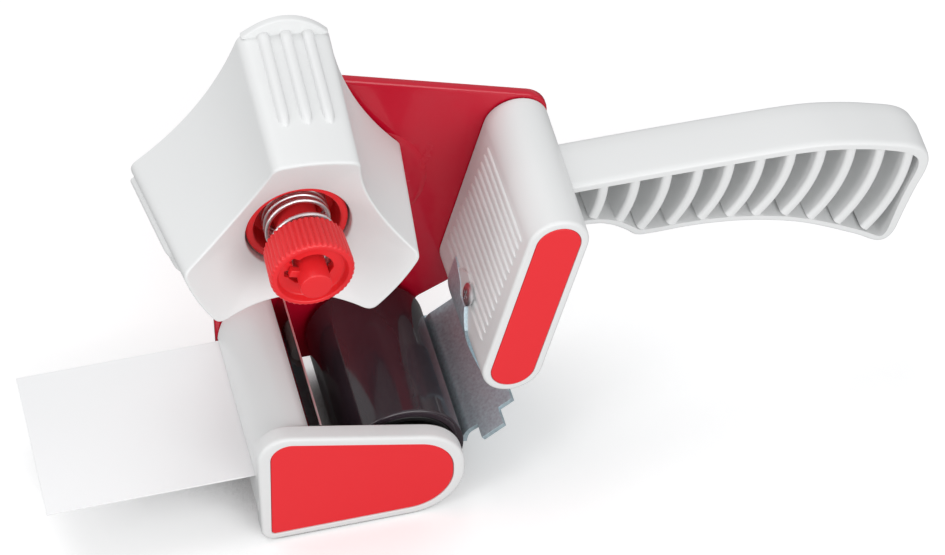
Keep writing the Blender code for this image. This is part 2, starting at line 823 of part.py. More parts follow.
def make_knob():
    back = knob_front + knob_length
    band = knob_front + knob_band
    steps = flutes * 2
    rings = [(back, fluted(knob_back_radius)), (band + gap, fluted(knob_front_radius - gap)),
             (band, circle(knob_front_radius, steps)), (knob_front + gap, circle(knob_front_radius, steps)),
             (knob_front, circle(knob_front_radius - gap, steps))]
    knob = loft("brake_knob", rings, red_plastic)
    socket = knob_back_radius - knob_wall
    mouth = knob_front_radius - knob_wall
    cut(knob, turned("knob_socket", rod_profile(socket, web_far, back + overrun), 40),
        turned("knob_mouth", [(0.0, knob_front - overrun), (mouth, knob_front - overrun), (mouth, knob_front),
                              (socket, web_near), (0.0, web_near)], 40),
        prism("knob_keyway", key(post_radius + lug_reach + gap, notch_width, notch_turn), web_near - overrun,
              web_far + overrun))
    drill(knob, "knob_hole", post_radius + running_gap, web_near - overrun, web_far + overrun, (0.0, 0.0, 0.0),
          steps=28)


# Guard: a hood over the blade and a D-shaped cap at the open side, in one moulding

inlay_depth = 1.2 * mm
inlay_thickness = 0.7 * mm
cap_rim = 1.9 * mm
cap_left_rim = 4.3 * mm
inlay_nose_corner = 4.8 * mm
hood_far = -0.6 * mm
hood_width = 16.0 * mm
hood_shares = ((1.00, 0.225), (0.985, 0.172), (0.86, 0.134), (0.61, 0.148), (0.36, 0.224), (0.17, 0.329),
               (0.055, 0.458), (0.02, 0.60), (0.005, 0.745))
hood_lug_reach = 11.0 * mm
guard_pilot = 8.5 * mm
shelf_share = 0.58
shelf_thickness = 1.8 * mm
clamp_thickness = 1.2 * mm
counterbore = 3.7 * mm
counterbore_depth = 1.5 * mm
cap_screw_head_height = 1.0 * mm
boss_radius = 6.0 * mm
boss_past_tape = 0.5 * mm
boss_end = -(tape_width + boss_past_tape)


def guard_outline(left_margin=0.0, nose_corner=guard_nose_corner, steps=8):
    slope = math.tan(guard_top_fall)
    left = guard_left + left_margin
    return rounded([
        (left, guard_top_at_left - left_margin * slope, nose_corner),
        (guard_right, guard_top_at_left - (guard_right - guard_left) * slope, guard_round),
        (guard_right, guard_bottom, guard_round),
        (left, guard_bottom, guard_toe_corner),
    ], steps)


def hood_line():
    """The hood's outer face, from its inner lip over the crest and down the front."""
    height = guard_bottom - guard_top_at_left
    points = [(guard_left + hood_width * x, guard_top_at_left + height * z) for x, z in hood_shares]
    return smooth(points, 3)


def bar(left, right, bottom, top):
    return [(left, bottom), (right, bottom), (right, top), (left, top)]


def flap_screw_places():
    x = guard_left + hood_width * flap_screw_share
    return [(x, -tape_width * share, flap_z) for share in flap_screw_y_shares]


def make_guard():
    cap_far = guard_front + cap_depth
    outline = guard_outline()
    inlay_seat = guard_front + inlay_depth
    face_back = inlay_seat + guard_wall
    guard = prism("guard", outline, guard_front, cap_far, white_plastic)
    inlay_outline = guard_outline(cap_left_rim - cap_rim, inlay_nose_corner)
    cut(guard, prism("guard_inlay_seat", inset(inlay_outline, cap_rim), guard_front - overrun, inlay_seat),
        prism("guard_hollow", inset(outline, guard_wall), face_back, cap_far + overrun))
    attach = inlay_seat + guard_wall / 2
    shelf_top = flap_z - flap_thickness / 2 - gap
    shelf_right = guard_left + hood_width * shelf_share
    fuse(guard, prism("guard_hood", strip(hood_line()[::-1], guard_wall), attach, hood_far),
         prism("guard_shelf", bar(guard_left + guard_wall / 2, shelf_right, shelf_top - shelf_thickness, shelf_top),
               attach, hood_far),
         turned("guard_lug", rod_profile(guard_lug_radius, -hood_lug_reach, hood_far - gap), 20, None,
                (guard_lug_x, 0.0, guard_lug_z)),
         turned("guard_boss", rod_profile(boss_radius, attach, boss_end), 24, None, (roller_x, 0.0, roller_z)))
    slot = flap_thickness / 2 + gap
    screw_seat_y = inlay_seat + counterbore_depth
    bore = guard_screw_radius + gap
    pocket = axle_radius + gap
    cut(guard, prism("guard_slot", bar(guard_left - overrun, guard_left + guard_wall + overrun, flap_z - slot,
                                       flap_z + slot), -(tape_width + gap * 3), overrun))
    drill(guard, "guard_pilot", bore, -guard_pilot, overrun, (guard_lug_x, 0.0, guard_lug_z), steps=18)
    for index, place in enumerate(flap_screw_places()):
        drill(guard, f"shelf_hole_{index}", flap_screw_radius + gap, -shelf_thickness * 2, shelf_thickness * 2, place,
              facing((0.0, 1.0)))
    cut(guard, turned("guard_screw_bore", [
        (0.0, guard_front - overrun), (counterbore, guard_front - overrun), (counterbore, screw_seat_y),
        (bore, screw_seat_y), (bore, axle_end - gap), (pocket, axle_end - gap), (pocket, boss_end + overrun),
        (0.0, boss_end + overrun)], 24, None, (roller_x, 0.0, roller_z)))
    back = inlay_seat - gap
    prism("guard_inlay", inset(inlay_outline, cap_rim + gap), back - inlay_thickness, back, red_inlay)

    under_head = screw_seat_y - gap
    turned("guard_cap_screw", headed_profile(guard_screw_radius, counterbore - gap, axle_end + guard_screw_grip,
                                             under_head, under_head - cap_screw_head_height),
           20, bright_steel, (roller_x, 0.0, roller_z))
    turned("guard_plate_screw", headed_profile(guard_screw_radius, axle_radius, -guard_pilot + overrun, screw_seat,
                                               screw_seat + screw_head_height),
           20, bright_steel, (guard_lug_x, 0.0, guard_lug_z))


# Flap that wipes the tape on, clamped inside the hood

flap_screw_radius = 1.1 * mm
flap_screw_head = 2.0 * mm
flap_screw_head_height = 1.0 * mm
flap_side_margin = 0.5 * mm
flap_root_share = 0.56
flap_screw_share = 0.36
flap_screw_y_shares = (0.2, 0.8)
flap_far = -1.2 * mm
flap_past_tape = 0.6 * mm
flap_near = -(tape_width + flap_past_tape)


def make_flap():
    hinge_x = guard_left
    root = guard_left + hood_width * flap_root_share
    half = flap_thickness / 2
    flap = prism("tape_flap", bar(flap_tip - hinge_x, root - hinge_x, -half, half), flap_near, flap_far, white_film,
                 (hinge_x, 0.0, flap_z))
    clamp_left = guard_left + guard_wall + gap * 4
    clamp_bottom = flap_z + half + gap
    clamp = prism("flap_clamp", bar(clamp_left, root, clamp_bottom, clamp_bottom + clamp_thickness),
                  flap_near + flap_side_margin, flap_far - flap_side_margin, zinc)
    under_head = half + gap + clamp_thickness + gap
    profile = headed_profile(flap_screw_radius, flap_screw_head, -(half + gap + shelf_thickness), under_head,
                             under_head + flap_screw_head_height)
    for name, place in zip(("far", "near"), flap_screw_places()):
        for thing in (flap, clamp):
            drill(thing, f"{thing.name}_hole_{name}", flap_screw_radius + gap, -overrun, under_head + overrun, place,
                  facing((0.0, 1.0)), 12)
        turned(f"flap_screw_{name}", profile, 14, zinc, place, facing((0.0, 1.0)))


# Block and grip: one hollow moulding, open towards the viewer, with curved ribs in the grip

block_far = -gap
block_wall = 2.2 * mm
block_floor = 12.0 * mm
block_rim = 2.2 * mm
block_inlay_depth = 0.9 * mm
handle_screw_length = 9.5 * mm
face_ribs = 14
face_rib_height = 0.5 * mm
face_rib_half = 0.75 * mm
face_rib_run_in_share = 0.05
face_rib_down_shares = (0.06, 0.90)
face_rib_far_shares = (0.15, 0.05)
face_rib_near_shares = (0.91, 0.87)
pad_thickness = 0.8 * mm
pad_depth = 2.2 * mm
pad_shares = ((0.28, 1.02), (0.24, 0.95), (0.33, 0.85), (0.47, 0.755), (0.58, 0.775), (0.64, 0.85), (0.60, 0.862),
              (0.44, 0.97), (0.37, 1.02))
grip_outer_shares = (
    (-0.09, 0.0), (0.02, 0.0), (0.25, 0.0), (0.50, 0.006), (0.68, 0.022), (0.80, 0.08), (0.885, 0.152),
    (0.95, 0.22), (0.991, 0.305), (1.003, 0.388), (0.99, 0.49), (0.967, 0.61), (0.944, 0.75), (0.926, 0.90),
    (0.91, 0.975), (0.885, 1.0), (0.858, 0.975), (0.796, 0.89), (0.65, 0.722), (0.507, 0.617), (0.368, 0.571),
    (0.235, 0.568), (0.19, 0.555), (0.158, 0.49), (0.118, 0.425), (0.065, 0.388), (-0.09, 0.37))
rib_top_drop_share = 0.9
block_screw_y = -27.4 * mm
block_screw_z = -47.5 * mm
block_screw_radius = 1.5 * mm
block_screw_head = 3.2 * mm
block_screw_head_height = 0.9 * mm
block_screw_length = 7.0 * mm


def block_centres(y):
    """The block's upper and lower centres and its radius at a place between its two ends."""
    share = (y - block_far) / (block_near - block_far)
    top, bottom = (Vector(far).lerp(Vector(near), share)
                   for far, near in ((block_far_top, block_near_top), (block_far_bottom, block_near_bottom)))
    return top, bottom, block_far_radius + (block_near_radius - block_far_radius) * share


def block_section(y, shrink=0.0):
    top, bottom, radius = block_centres(y)
    return obround(top, bottom, radius - shrink)


def block_face(down_share, y):
    """A point on the block's left face, with the directions out of it and down it, as (x, z)."""
    top, bottom, radius = block_centres(y)
    down = (bottom - top).normalized()
    out = Vector((down.y, -down.x))
    return top.lerp(bottom, down_share) + out * radius, out, down


def face_frame():
    """The left face as a frame: X from its far end to its near end, Y into the block, Z up the face."""
    far, out, down = block_face(0.0, block_far)
    near, out, down = block_face(0.0, block_near)
    along = Vector((near.x - far.x, block_near - block_far, near.y - far.y)).normalized()
    up = Vector((-down.x, 0.0, -down.y))
    up = (up - along * up.dot(along)).normalized()
    turn = Matrix((along, up.cross(along), up)).transposed().to_euler()
    return (far.x, block_far, far.y), turn


def face_rib(name, index):
    """One fine rib along the block's left face, with ends that run out into it."""
    spread = index / (face_ribs - 1)
    down_share, far_share, near_share = (
        first + (last - first) * spread
        for first, last in (face_rib_down_shares, face_rib_far_shares, face_rib_near_shares))
    run_in = face_rib_run_in_share
    bm = bmesh.new()
    loops = []
    for share, rise in ((far_share, 0.0), (far_share + run_in, 1.0), (near_share - run_in, 1.0), (near_share, 0.0)):
        y = block_far + (block_near - block_far) * share
        point, out, down = block_face(down_share, y)
        half = down * face_rib_half
        lift = out * face_rib_height
        section = [point - half - lift, point - half / 2 + lift * rise, point + half / 2 + lift * rise,
                   point + half - lift]
        loops.append([bm.verts.new((spot.x, y, spot.y)) for spot in section])
    skin(bm, loops)
    return add(name, bm, None)


def grip_outline():
    points = [(grip_start + grip_length * x, grip_top - grip_drop * z) for x, z in grip_outer_shares]
    return smooth(points, 3)


def grip_rib(index, outline):
    """The section of one curved rib, from under the top wall down and back to the lower wall."""
    top_x = grip_start + rib_first + rib_pitch * index - rib_closing * index * index
    upper = [point for point in outline[:len(outline) // 2] if abs(point[0] - top_x) < rib_pitch]
    top_z = min(upper, key=lambda point: abs(point[0] - top_x))[1] - grip_wall * rib_top_drop_share
    reach = max(top_x - grip_start - grip_length / 2, 0.0) / grip_length
    radius = rib_radius * (1 + reach / 2)
    line = []
    for step in range(11):
        angle = math.radians(8.0 - 98.0 * step / 10)
        line.append((top_x - radius + radius * math.cos(angle), top_z - rib_thickness + radius * math.sin(angle)))
    return strip(line, rib_thickness)


def block_screw_place():
    """Where the block screw meets the pad, and the direction into the block."""
    face, out, down = block_face(0.0, block_screw_y)
    face += down * ((block_screw_z - face.y) / down.y) + out * pad_thickness
    return (face.x, block_screw_y, face.y), (-out.x, -out.y)


def make_handle():
    handle = loft("handle", [(y, block_section(y)) for y in (block_far, block_near)], white_plastic)
    outline = grip_outline()
    steps = 3
    rings = [(grip_near, outline)]
    for step in range(steps + 1):
        turn = math.pi / 2 * step / steps
        edge = grip_round * (1 - math.cos(turn))
        rings.append((grip_far - grip_round * (1 - math.sin(turn)), inset(outline, edge, False)))
    grip = loft("handle_grip", rings)
    cavity = prism("grip_cavity", inset(outline, grip_wall), grip_near - overrun, grip_far - grip_wall)
    cavity_keep = loft("grip_cavity_keep", [(overrun, block_section(block_far, gap)),
                                            (block_near - overrun, block_section(block_near, gap))])
    for index in range(rib_count):
        cut(cavity, prism(f"grip_rib_{index}", grip_rib(index, outline), grip_near, grip_far))
    cut(cavity, cavity_keep)
    cut(grip, cavity)
    room = loft("block_room", [(-block_floor, block_section(-block_floor, block_wall)),
                               (block_near - overrun, block_section(block_near, block_wall))])
    seat_back = block_near + block_inlay_depth
    seat = prism("block_inlay_seat", block_section(block_near, block_rim), block_near - overrun, seat_back)
    fuse(handle, grip)
    for index in range(face_ribs):
        fuse(handle, face_rib(f"block_rib_{index}", index))
    origin, turn = face_frame()
    height = (Vector(block_far_top) - Vector(block_far_bottom)).length
    depth = block_far - block_near
    pad = [(depth * x, -height * z) for x, z in pad_shares]
    fuse(handle, prism("block_pad", pad, -pad_thickness, pad_depth, None, origin, turn))
    cut(handle, room, seat)
    for index, share in enumerate(handle_screw_shares):
        drill(handle, f"block_pilot_{index}", screw_radius + gap, -block_floor - overrun, overrun, block_middle(share))
    place, inwards = block_screw_place()
    drill(handle, "block_screw_hole", block_screw_radius + gap, -overrun, block_screw_length + overrun, place,
          facing(inwards))
    turned("block_screw", headed_profile(block_screw_radius, block_screw_head, block_screw_length, -gap,
                                         -gap - block_screw_head_height), 20, bright_steel, place, facing(inwards))
    prism("handle_inlay", block_section(block_near, block_rim + gap), seat_back - gap - inlay_thickness,
          seat_back - gap, red_inlay)
    for name, share in zip(("upper", "lower"), handle_screw_shares):
        turned(f"handle_screw_{name}", headed_profile(screw_radius, screw_head, -handle_screw_length, screw_seat,
                                                      screw_seat + screw_head_height),
               20, bright_steel, block_middle(share))


# Zinc-plated bracket beside the roller, riveted to the plate, with a tongue against the block

bracket_sheet = 1.4 * mm
bracket_far = -2.0 * mm
bracket_short_of_tape = 4.0 * mm
bracket_near = -(tape_width - bracket_short_of_tape)
bracket_step = 0.8 * mm
bracket_step_near = bracket_near + bracket_step
bracket_tab_past_tape = 1.0 * mm
bracket_tab_near = -(tape_width + bracket_tab_past_tape)
bracket_step_share = 0.66
bracket_tab_share = 0.12
bracket_tongue_share = 0.12
bracket_leaf_shares = (0.0, 0.12, 0.66, 1.0)
bracket_bend_shares = ((0.0, 1.5), (0.16, 0.85), (0.5, 0.36))
bracket_side = 1
ear_left = 30.5 * mm
ear_top = -82.6 * mm
tongue_near = -31.4 * mm
tongue_far = -12.4 * mm
tongue_x = 44.5 * mm
tongue_bend_z = -57.0 * mm
tongue_top_z = -47.6 * mm
tongue_slope_shares = ((-0.2, -0.2), (0.0, 0.0), (0.05, 0.30), (0.2, 0.40), (0.45, 0.52), (0.70, 1.10),
                       (1.2, 1.9), (1.2, -0.2))
tongue_gap = 0.8 * mm


def bracket_along(share, drop=0.0):
    """A point on the slanted leaf's upper face, from the bend (0) to its right edge (1)."""
    return (bracket_bend_x + (bracket_edge_x - bracket_bend_x) * share,
            bracket_bend_z + (bracket_edge_z - bracket_bend_z) * share - drop)


def bracket_line():
    """The section's outer line, from the lip's lower edge round the bend and up the leaf."""
    bend = bracket_bend_x - bracket_lip_x
    line = [(bracket_lip_x, bracket_lip_bottom)]
    for across, down in bracket_bend_shares:
        line.append((bracket_lip_x + bend * across, bracket_bend_z - bend * down))
    return line + [bracket_along(share) for share in bracket_leaf_shares]


def bracket_sheet_faces(name):
    """The folded sheet without its thickness: one strip for each step of the line, each of its own reach."""
    line = bracket_line()
    levels = [bracket_tab_near, bracket_near, bracket_step_near, bracket_far]
    first_leaf = len(line) - len(bracket_leaf_shares)
    bm = bmesh.new()
    grid = [[bm.verts.new((x, y, z)) for y in levels] for x, z in line]
    for step in range(len(line) - 1):
        start = bracket_leaf_shares[step - first_leaf] if step >= first_leaf else -1
        for row, (near, far) in enumerate(zip(levels, levels[1:])):
            if near < bracket_near:
                keep = bracket_tab_share <= start < bracket_step_share
            else:
                keep = start < bracket_step_share or near >= bracket_step_near
            if keep:
                bm.faces.new((grid[step][row], grid[step][row + 1], grid[step + 1][row + 1], grid[step + 1][row]))
    bmesh.ops.delete(bm, geom=[vert for vert in bm.verts if not vert.link_faces], context="VERTS")
    mesh = bpy.data.meshes.new(name)
    bm.to_mesh(mesh)
    bm.free()
    mesh.materials.append(zinc(name))
    mesh.shade_smooth()
    mesh.set_sharp_from_angle(angle=sharp_edge)
    sheet_object = bpy.data.objects.new(name, mesh)
    bpy.context.collection.objects.link(sheet_object)
    sheet_object.parent = stand
    thick = sheet_object.modifiers.new("sheet thickness", "SOLIDIFY")
    thick.thickness = bracket_sheet
    thick.offset = bracket_side
    thick.use_even_offset = True
    return sheet_object


def make_bracket():
    bracket = bracket_sheet_faces("lower_bracket")
    ear_back = -gap
    ear_front = ear_back - bracket_sheet
    ear = bar(ear_left, bracket_lip_x + bracket_sheet / 2, bracket_lip_bottom, ear_top)
    neck = bar(bracket_lip_x, bracket_lip_x + bracket_sheet, bracket_lip_bottom, ear_top)
    fuse(bracket, prism("bracket_neck", neck, bracket_far - overrun, ear_back),
         prism("bracket_ear", ear, ear_front, ear_back))
    face, out, down = block_face(0.0, tongue_near)
    offset = Vector((-tongue_gap - bracket_sheet, 0.0)) / math.cos(math.atan2(down.x, -down.y))
    high, low = (face + down * ((z - face.y) / down.y) + offset for z in (tongue_top_z, tongue_bend_z))
    foot_z = bracket_along(bracket_tongue_share)[1] - bracket_sheet / 2
    foot_x = bracket_along(bracket_tongue_share)[0]
    line = [(foot_x, foot_z), (min(foot_x, low.x), (foot_z + low.y) / 2), tuple(low), tuple(high)]
    tongue = prism("bracket_tongue", strip(line, bracket_sheet), tongue_near, tongue_far)
    width = tongue_far - tongue_near
    drop = tongue_top_z - tongue_bend_z
    trim = [(width * y, -drop * z) for y, z in tongue_slope_shares]
    reach = bracket_edge_x - bracket_lip_x
    cut(tongue, prism("tongue_trim", trim, -reach, reach, None, (foot_x, tongue_near, tongue_top_z),
                      (0.0, 0.0, math.pi / 2)))
    fuse(bracket, tongue)
    head = ear_rivet_head
    for index, z in enumerate(ear_rivet_z):
        place = (ear_rivet_x, 0.0, z)
        drill(bracket, f"ear_hole_{index}", ear_rivet_radius + gap, -overrun * 2, overrun, place)
        turned(f"bracket_rivet_{index + 1}", rivet_profile(ear_rivet_radius, head, ear_rivet_height, ear_front - gap,
                                                           screw_seat), 16, bright_steel, place)


# The whole, stood on the floor over the middle of its footprint


def stand_on_floor():
    bpy.context.view_layer.update()
    low = Vector((math.inf,) * 3)
    high = Vector((-math.inf,) * 3)
    graph = bpy.context.evaluated_depsgraph_get()
    for thing in bpy.data.objects:
        if thing.type == "EMPTY" or thing.hide_render:
            continue
        for vert in thing.evaluated_get(graph).to_mesh().vertices:
            spot = thing.matrix_world @ vert.co
            low = Vector(map(min, low, spot))
            high = Vector(map(max, high, spot))
    stand.location = (-(low.x + high.x) / 2, -(low.y + high.y) / 2, -low.z)
    bpy.context.view_layer.update()
    print("hub axis, m:", tuple(round(value, 6) for value in stand.location))


clear_scene()
stand = bpy.data.objects.new("dispenser", None)
bpy.context.collection.objects.link(stand)
make_side_plate()
make_blade()
make_roller()
make_hub()
make_spindle()
make_brake()
make_spring()
make_knob()
make_guard()
make_flap()
make_handle()
make_bracket()
stand_on_floor()
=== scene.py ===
import math

import bmesh
import bpy
from mathutils import Matrix, Vector


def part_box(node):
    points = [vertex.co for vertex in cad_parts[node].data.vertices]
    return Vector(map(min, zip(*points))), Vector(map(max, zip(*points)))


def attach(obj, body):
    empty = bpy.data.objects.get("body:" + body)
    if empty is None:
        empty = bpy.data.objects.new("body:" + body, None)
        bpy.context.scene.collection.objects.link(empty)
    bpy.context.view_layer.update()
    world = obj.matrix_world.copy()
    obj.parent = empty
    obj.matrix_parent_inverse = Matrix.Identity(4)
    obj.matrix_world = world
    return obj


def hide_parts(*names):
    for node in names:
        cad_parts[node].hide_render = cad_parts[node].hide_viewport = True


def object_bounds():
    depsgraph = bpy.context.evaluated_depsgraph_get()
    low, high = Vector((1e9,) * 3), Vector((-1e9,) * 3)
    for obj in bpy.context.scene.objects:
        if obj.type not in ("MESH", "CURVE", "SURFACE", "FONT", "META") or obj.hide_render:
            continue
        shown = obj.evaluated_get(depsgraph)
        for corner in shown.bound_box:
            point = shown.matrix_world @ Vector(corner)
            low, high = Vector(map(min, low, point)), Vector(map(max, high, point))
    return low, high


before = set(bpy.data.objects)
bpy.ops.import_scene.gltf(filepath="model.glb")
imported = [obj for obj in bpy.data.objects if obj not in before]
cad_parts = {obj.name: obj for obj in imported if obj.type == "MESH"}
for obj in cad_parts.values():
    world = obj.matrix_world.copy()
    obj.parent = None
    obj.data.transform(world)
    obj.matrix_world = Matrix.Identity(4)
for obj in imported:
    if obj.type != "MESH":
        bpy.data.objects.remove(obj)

cad_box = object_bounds()


# The table and the room: a white sweep under the dispenser, soft boxes over it and a bright room round it,
# with the camera high at the open side. All lengths below are millimetres from the hub's axis at the plate's
# near face. hub_axis is that point in the frame, and X runs along the grip, Y into the plate, Z up.

plate_sheet = 1.2
washer_low, washer_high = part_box("spindle_washer")
washer_middle = (washer_low + washer_high) / 2
hub_axis = Vector((washer_middle.x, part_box("side_plate")[1].y - plate_sheet / 1000, washer_middle.z))
into_frame = Matrix.Translation(hub_axis) @ Matrix.Scale(0.001, 4)

scene = bpy.context.scene
scene.view_settings.view_transform = "Standard"
scene.view_settings.look = "None"

looked_at = into_frame @ Vector((48.5, -25.0, -43.5))
towards_camera = Vector((-0.1673, -0.6611, 0.7314))
camera_distance = 0.987
photo_camera = bpy.data.objects.new("photo_camera", bpy.data.cameras.new("photo_camera"))
photo_camera.data.lens = 141.1
photo_camera.data.sensor_width = 36.0
photo_camera.location = looked_at + towards_camera * camera_distance
photo_camera.rotation_euler = (-towards_camera).to_track_quat("-Z", "Y").to_euler()
scene.collection.objects.link(photo_camera)
scene.camera = photo_camera

room = bpy.data.worlds.new("room")
scene.world = room
room.use_nodes = True
daylight = room.node_tree.nodes["Background"]
daylight.inputs["Color"].default_value = (0.985, 0.99, 1.0, 1.0)
daylight.inputs["Strength"].default_value = 0.6

for name, place, width, height, watts in (
        ("top_box", (-0.25, 0.35, 1.1), 0.9, 0.5, 3.4), ("left_strip", (-1.0, -0.5, 0.55), 0.35, 1.0, 3.4),
        ("front_box", (0.25, -1.1, 0.45), 1.2, 0.8, 8.2)):
    lamp = bpy.data.lights.new(name, "AREA")
    lamp.shape = "RECTANGLE"
    lamp.size = width
    lamp.size_y = height
    lamp.energy = watts
    soft_box = bpy.data.objects.new(name, lamp)
    soft_box.location = looked_at + Vector(place)
    soft_box.rotation_euler = Vector(place).to_track_quat("Z", "Y").to_euler()
    scene.collection.objects.link(soft_box)


def feed(tree, node, given):
    """The node, its inputs set to values or linked to the sockets that feed them."""
    for socket, value in dict(given).items():
        if isinstance(value, bpy.types.NodeSocket):
            tree.links.new(value, node.inputs[socket])
        else:
            node.inputs[socket].default_value = value
    return node


def add(tree, kind, given=(), **settings):
    """A new node with these settings and inputs."""
    node = tree.nodes.new(kind)
    for setting, value in settings.items():
        setattr(node, setting, value)
    return feed(tree, node, given)


floor_gap = 0.0009
floor_paper = bpy.data.materials.new("floor_paper")
floor_paper.use_nodes = True
paper = floor_paper.node_tree
paper.nodes.clear()
# The paper is painted near-black where the dispenser hems it in (painted shade, from ambient occlusion) and glows
# faintly to the camera in that colour. To other rays it is plain grey, and darker grey in glossy reflections.
hemmed_in = add(paper, "ShaderNodeAmbientOcclusion", {"Distance": 0.035})
open_share = add(paper, "ShaderNodeMapRange", {"From Min": 0.12, "From Max": 0.32, "Value": hemmed_in.outputs["AO"]})
paper_with_painted_shade = add(paper, "ShaderNodeMix", {
    0: open_share.outputs["Result"], 6: (0.02, 0.018, 0.02, 1.0), 7: (0.96, 0.96, 0.96, 1.0)},
    data_type="RGBA").outputs[2]
seen_paper = add(paper, "ShaderNodeBsdfPrincipled", {
    "Roughness": 0.9, "Specular IOR Level": 0.0, "Base Color": paper_with_painted_shade, "Emission Color": paper_with_painted_shade,
    "Emission Strength": 0.16})
grey_paper, mirrored_paper = (add(paper, "ShaderNodeBsdfDiffuse", {"Color": (grey, grey, grey, 1.0)}).outputs["BSDF"]
                              for grey in (0.5, 0.16))
which_ray = add(paper, "ShaderNodeLightPath").outputs
other_rays = add(paper, "ShaderNodeMixShader", {
    "Fac": which_ray["Is Glossy Ray"], 1: grey_paper, 2: mirrored_paper}).outputs["Shader"]
either = add(paper, "ShaderNodeMixShader", {
    "Fac": which_ray["Is Camera Ray"], 1: other_rays, 2: seen_paper.outputs["BSDF"]}).outputs["Shader"]
add(paper, "ShaderNodeOutputMaterial", {"Surface": either})
sweep = bmesh.new()
bmesh.ops.create_grid(sweep, x_segments=1, y_segments=1, size=4.0)
sweep_mesh = bpy.data.meshes.new("floor")
sweep.to_mesh(sweep_mesh)
sweep.free()
sweep_mesh.materials.append(floor_paper)
floor = bpy.data.objects.new("floor", sweep_mesh)
floor.location.z = cad_box[0].z - floor_gap
scene.collection.objects.link(floor)


# Side plate: 1.2 mm pressed steel in glossy crimson enamel, with its edge rolled away from the tape, a low round
# swage beside the hub, and a tab bent out of it that carries the blade. Everything else is screwed to it.

plate_corners = ((-17.8, 25.49, 18.7), (77.10, -6.45, 8.0), (61.91, -63.93, 4.0), (38.6, -75.3, 2.0),
                 (38.6, -91.5, 4.0), (-17.8, -91.5, 4.0))
plate_edge_roll = 1.5
plate_rim = 2.3
swage_centre = (22.9, 0.0, -26.3)
swage_radius = 19.5
swage_height = 0.5
blade_top = Vector((0.9, -63.1))
blade_down = Vector((-math.sin(math.radians(22.8)), -math.cos(math.radians(22.8))))
blade_left = Vector((blade_down.y, -blade_down.x))
tab_corners = ((0.8, 7.6, 0.0), (-49.5, 7.6, 1.5), (-49.5, 26.9, 1.5), (0.8, 26.9, 0.0))
tab_faces = (0.3, 1.5)
blade_rivet_down = 14.72
blade_rivet_ys = (-9.9, -39.6)


def rounded(corners, steps):
    """A polygon of (x, z, radius) corners, each one turned into an arc that runs into both sides."""
    outline = []
    for index, (x, z, radius) in enumerate(corners):
        corner = Vector((x, z))
        if radius == 0:
            outline.append(corner)
            continue
        before = (Vector(corners[index - 1][:2]) - corner).normalized()
        after = (Vector(corners[(index + 1) % len(corners)][:2]) - corner).normalized()
        half = before.angle(after) / 2
        centre = corner + (before + after).normalized() * (radius / math.sin(half))
        start = corner + before * (radius / math.tan(half)) - centre
        turn = start.angle_signed(corner + after * (radius / math.tan(half)) - centre)
        outline += [centre + Matrix.Rotation(-turn * step / steps, 2) @ start for step in range(steps + 1)]
    return outline


def inset(outline, distance):
    """The closed outline moved inwards, point for point."""
    after = outline[1:] + outline[:1]
    side = 1 if sum(a[0] * b[1] - b[0] * a[1] for a, b in zip(outline, after)) > 0 else -1
    moved = []
    for before, here, following in zip(outline[-1:] + outline[:-1], outline, after):
        one = (here - before).normalized()
        two = (following - here).normalized()
        mitre = (Vector((-one.y, one.x)) + Vector((-two.y, two.x))) * side
        mitre.normalize()
        reach = distance / max(mitre.dot(Vector((-one.y, one.x)) * side), 0.5)
        moved.append(here + mitre * reach)
    return moved


def level(outline, y):
    """An outline of (x, z) at a place along the hub's axis."""
    return [Vector((x, y, z)) for x, z in outline]


def soft_turn(before, point, after, ease, most, t):
    """A place in the rounded turn from one point past another to a third, as t goes from 0 to 1."""
    first = point + (before - point).normalized() * min(ease, (before - point).length * most)
    last = point + (after - point).normalized() * min(ease, (after - point).length * most)
    return first.lerp(point, t).lerp(point.lerp(last, t), t)


def eased_rings(rings, steps=5):
    """Rings of (points, ease) with the turn at each eased ring rounded off, column by column."""
    out = []
    for index, (ring, ease) in enumerate(rings):
        if not ease:
            out.append(ring)
            continue
        before = rings[index - 1][0]
        after = rings[(index + 1) % len(rings)][0]
        for step in range(steps + 1):
            out.append([soft_turn(*column, ease, 0.48, step / steps) for column in zip(before, ring, after)])
    return out


def bridged(shape, loops):
    """Faces in the shape from each loop of vertices to the next."""
    for one, two in zip(loops, loops[1:]):
        for index in range(len(one)):
            shape.faces.new((one[index - 1], one[index], two[index], two[index - 1]))


def skinned(rings, closed=False):
    """A skin over rings of equal counts, closed by a face at each end, or end to end where closed."""
    shape = bmesh.new()
    loops = [[shape.verts.new(point) for point in ring] for ring in rings]
    bridged(shape, loops + loops[:1] if closed else loops)
    if not closed:
        shape.faces.new(loops[0])
        shape.faces.new(loops[-1])
    return shape


def pushed(outline, near, far):
    """An outline pushed along the hub's axis."""
    return skinned([level(outline, near), level(outline, far)])


def turned(profile, ease, steps, place=(0.0, 0.0, 0.0)):
    """A profile of (radius, along) with its corners eased, spun round a line through the place."""
    closed = profile[0][0] > 0
    points = [Vector(point) for point in profile]
    line = []
    for index, point in enumerate(points):
        if closed or 0 < index < len(points) - 1:
            after = points[(index + 1) % len(points)]
            line += [soft_turn(points[index - 1], point, after, ease, 0.45, t / 4) for t in range(5)]
        else:
            line.append(point)
    shape = bmesh.new()
    verts = [shape.verts.new((radius, along, 0.0)) for radius, along in line]
    edges = [shape.edges.new(pair) for pair in zip(verts, verts[1:])]
    if closed:
        edges.append(shape.edges.new((verts[-1], verts[0])))
    bmesh.ops.spin(shape, geom=verts + edges, cent=(0, 0, 0), axis=(0, 1, 0), angle=math.tau, steps=steps,
                   use_merge=True)
    bmesh.ops.remove_doubles(shape, verts=shape.verts, dist=0.001)
    shape.transform(Matrix.Translation(place))
    return shape


def ring_section(inner, outer, near, far):
    """The profile of a plain ring."""
    return [(inner, near), (outer, near), (outer, far), (inner, far)]


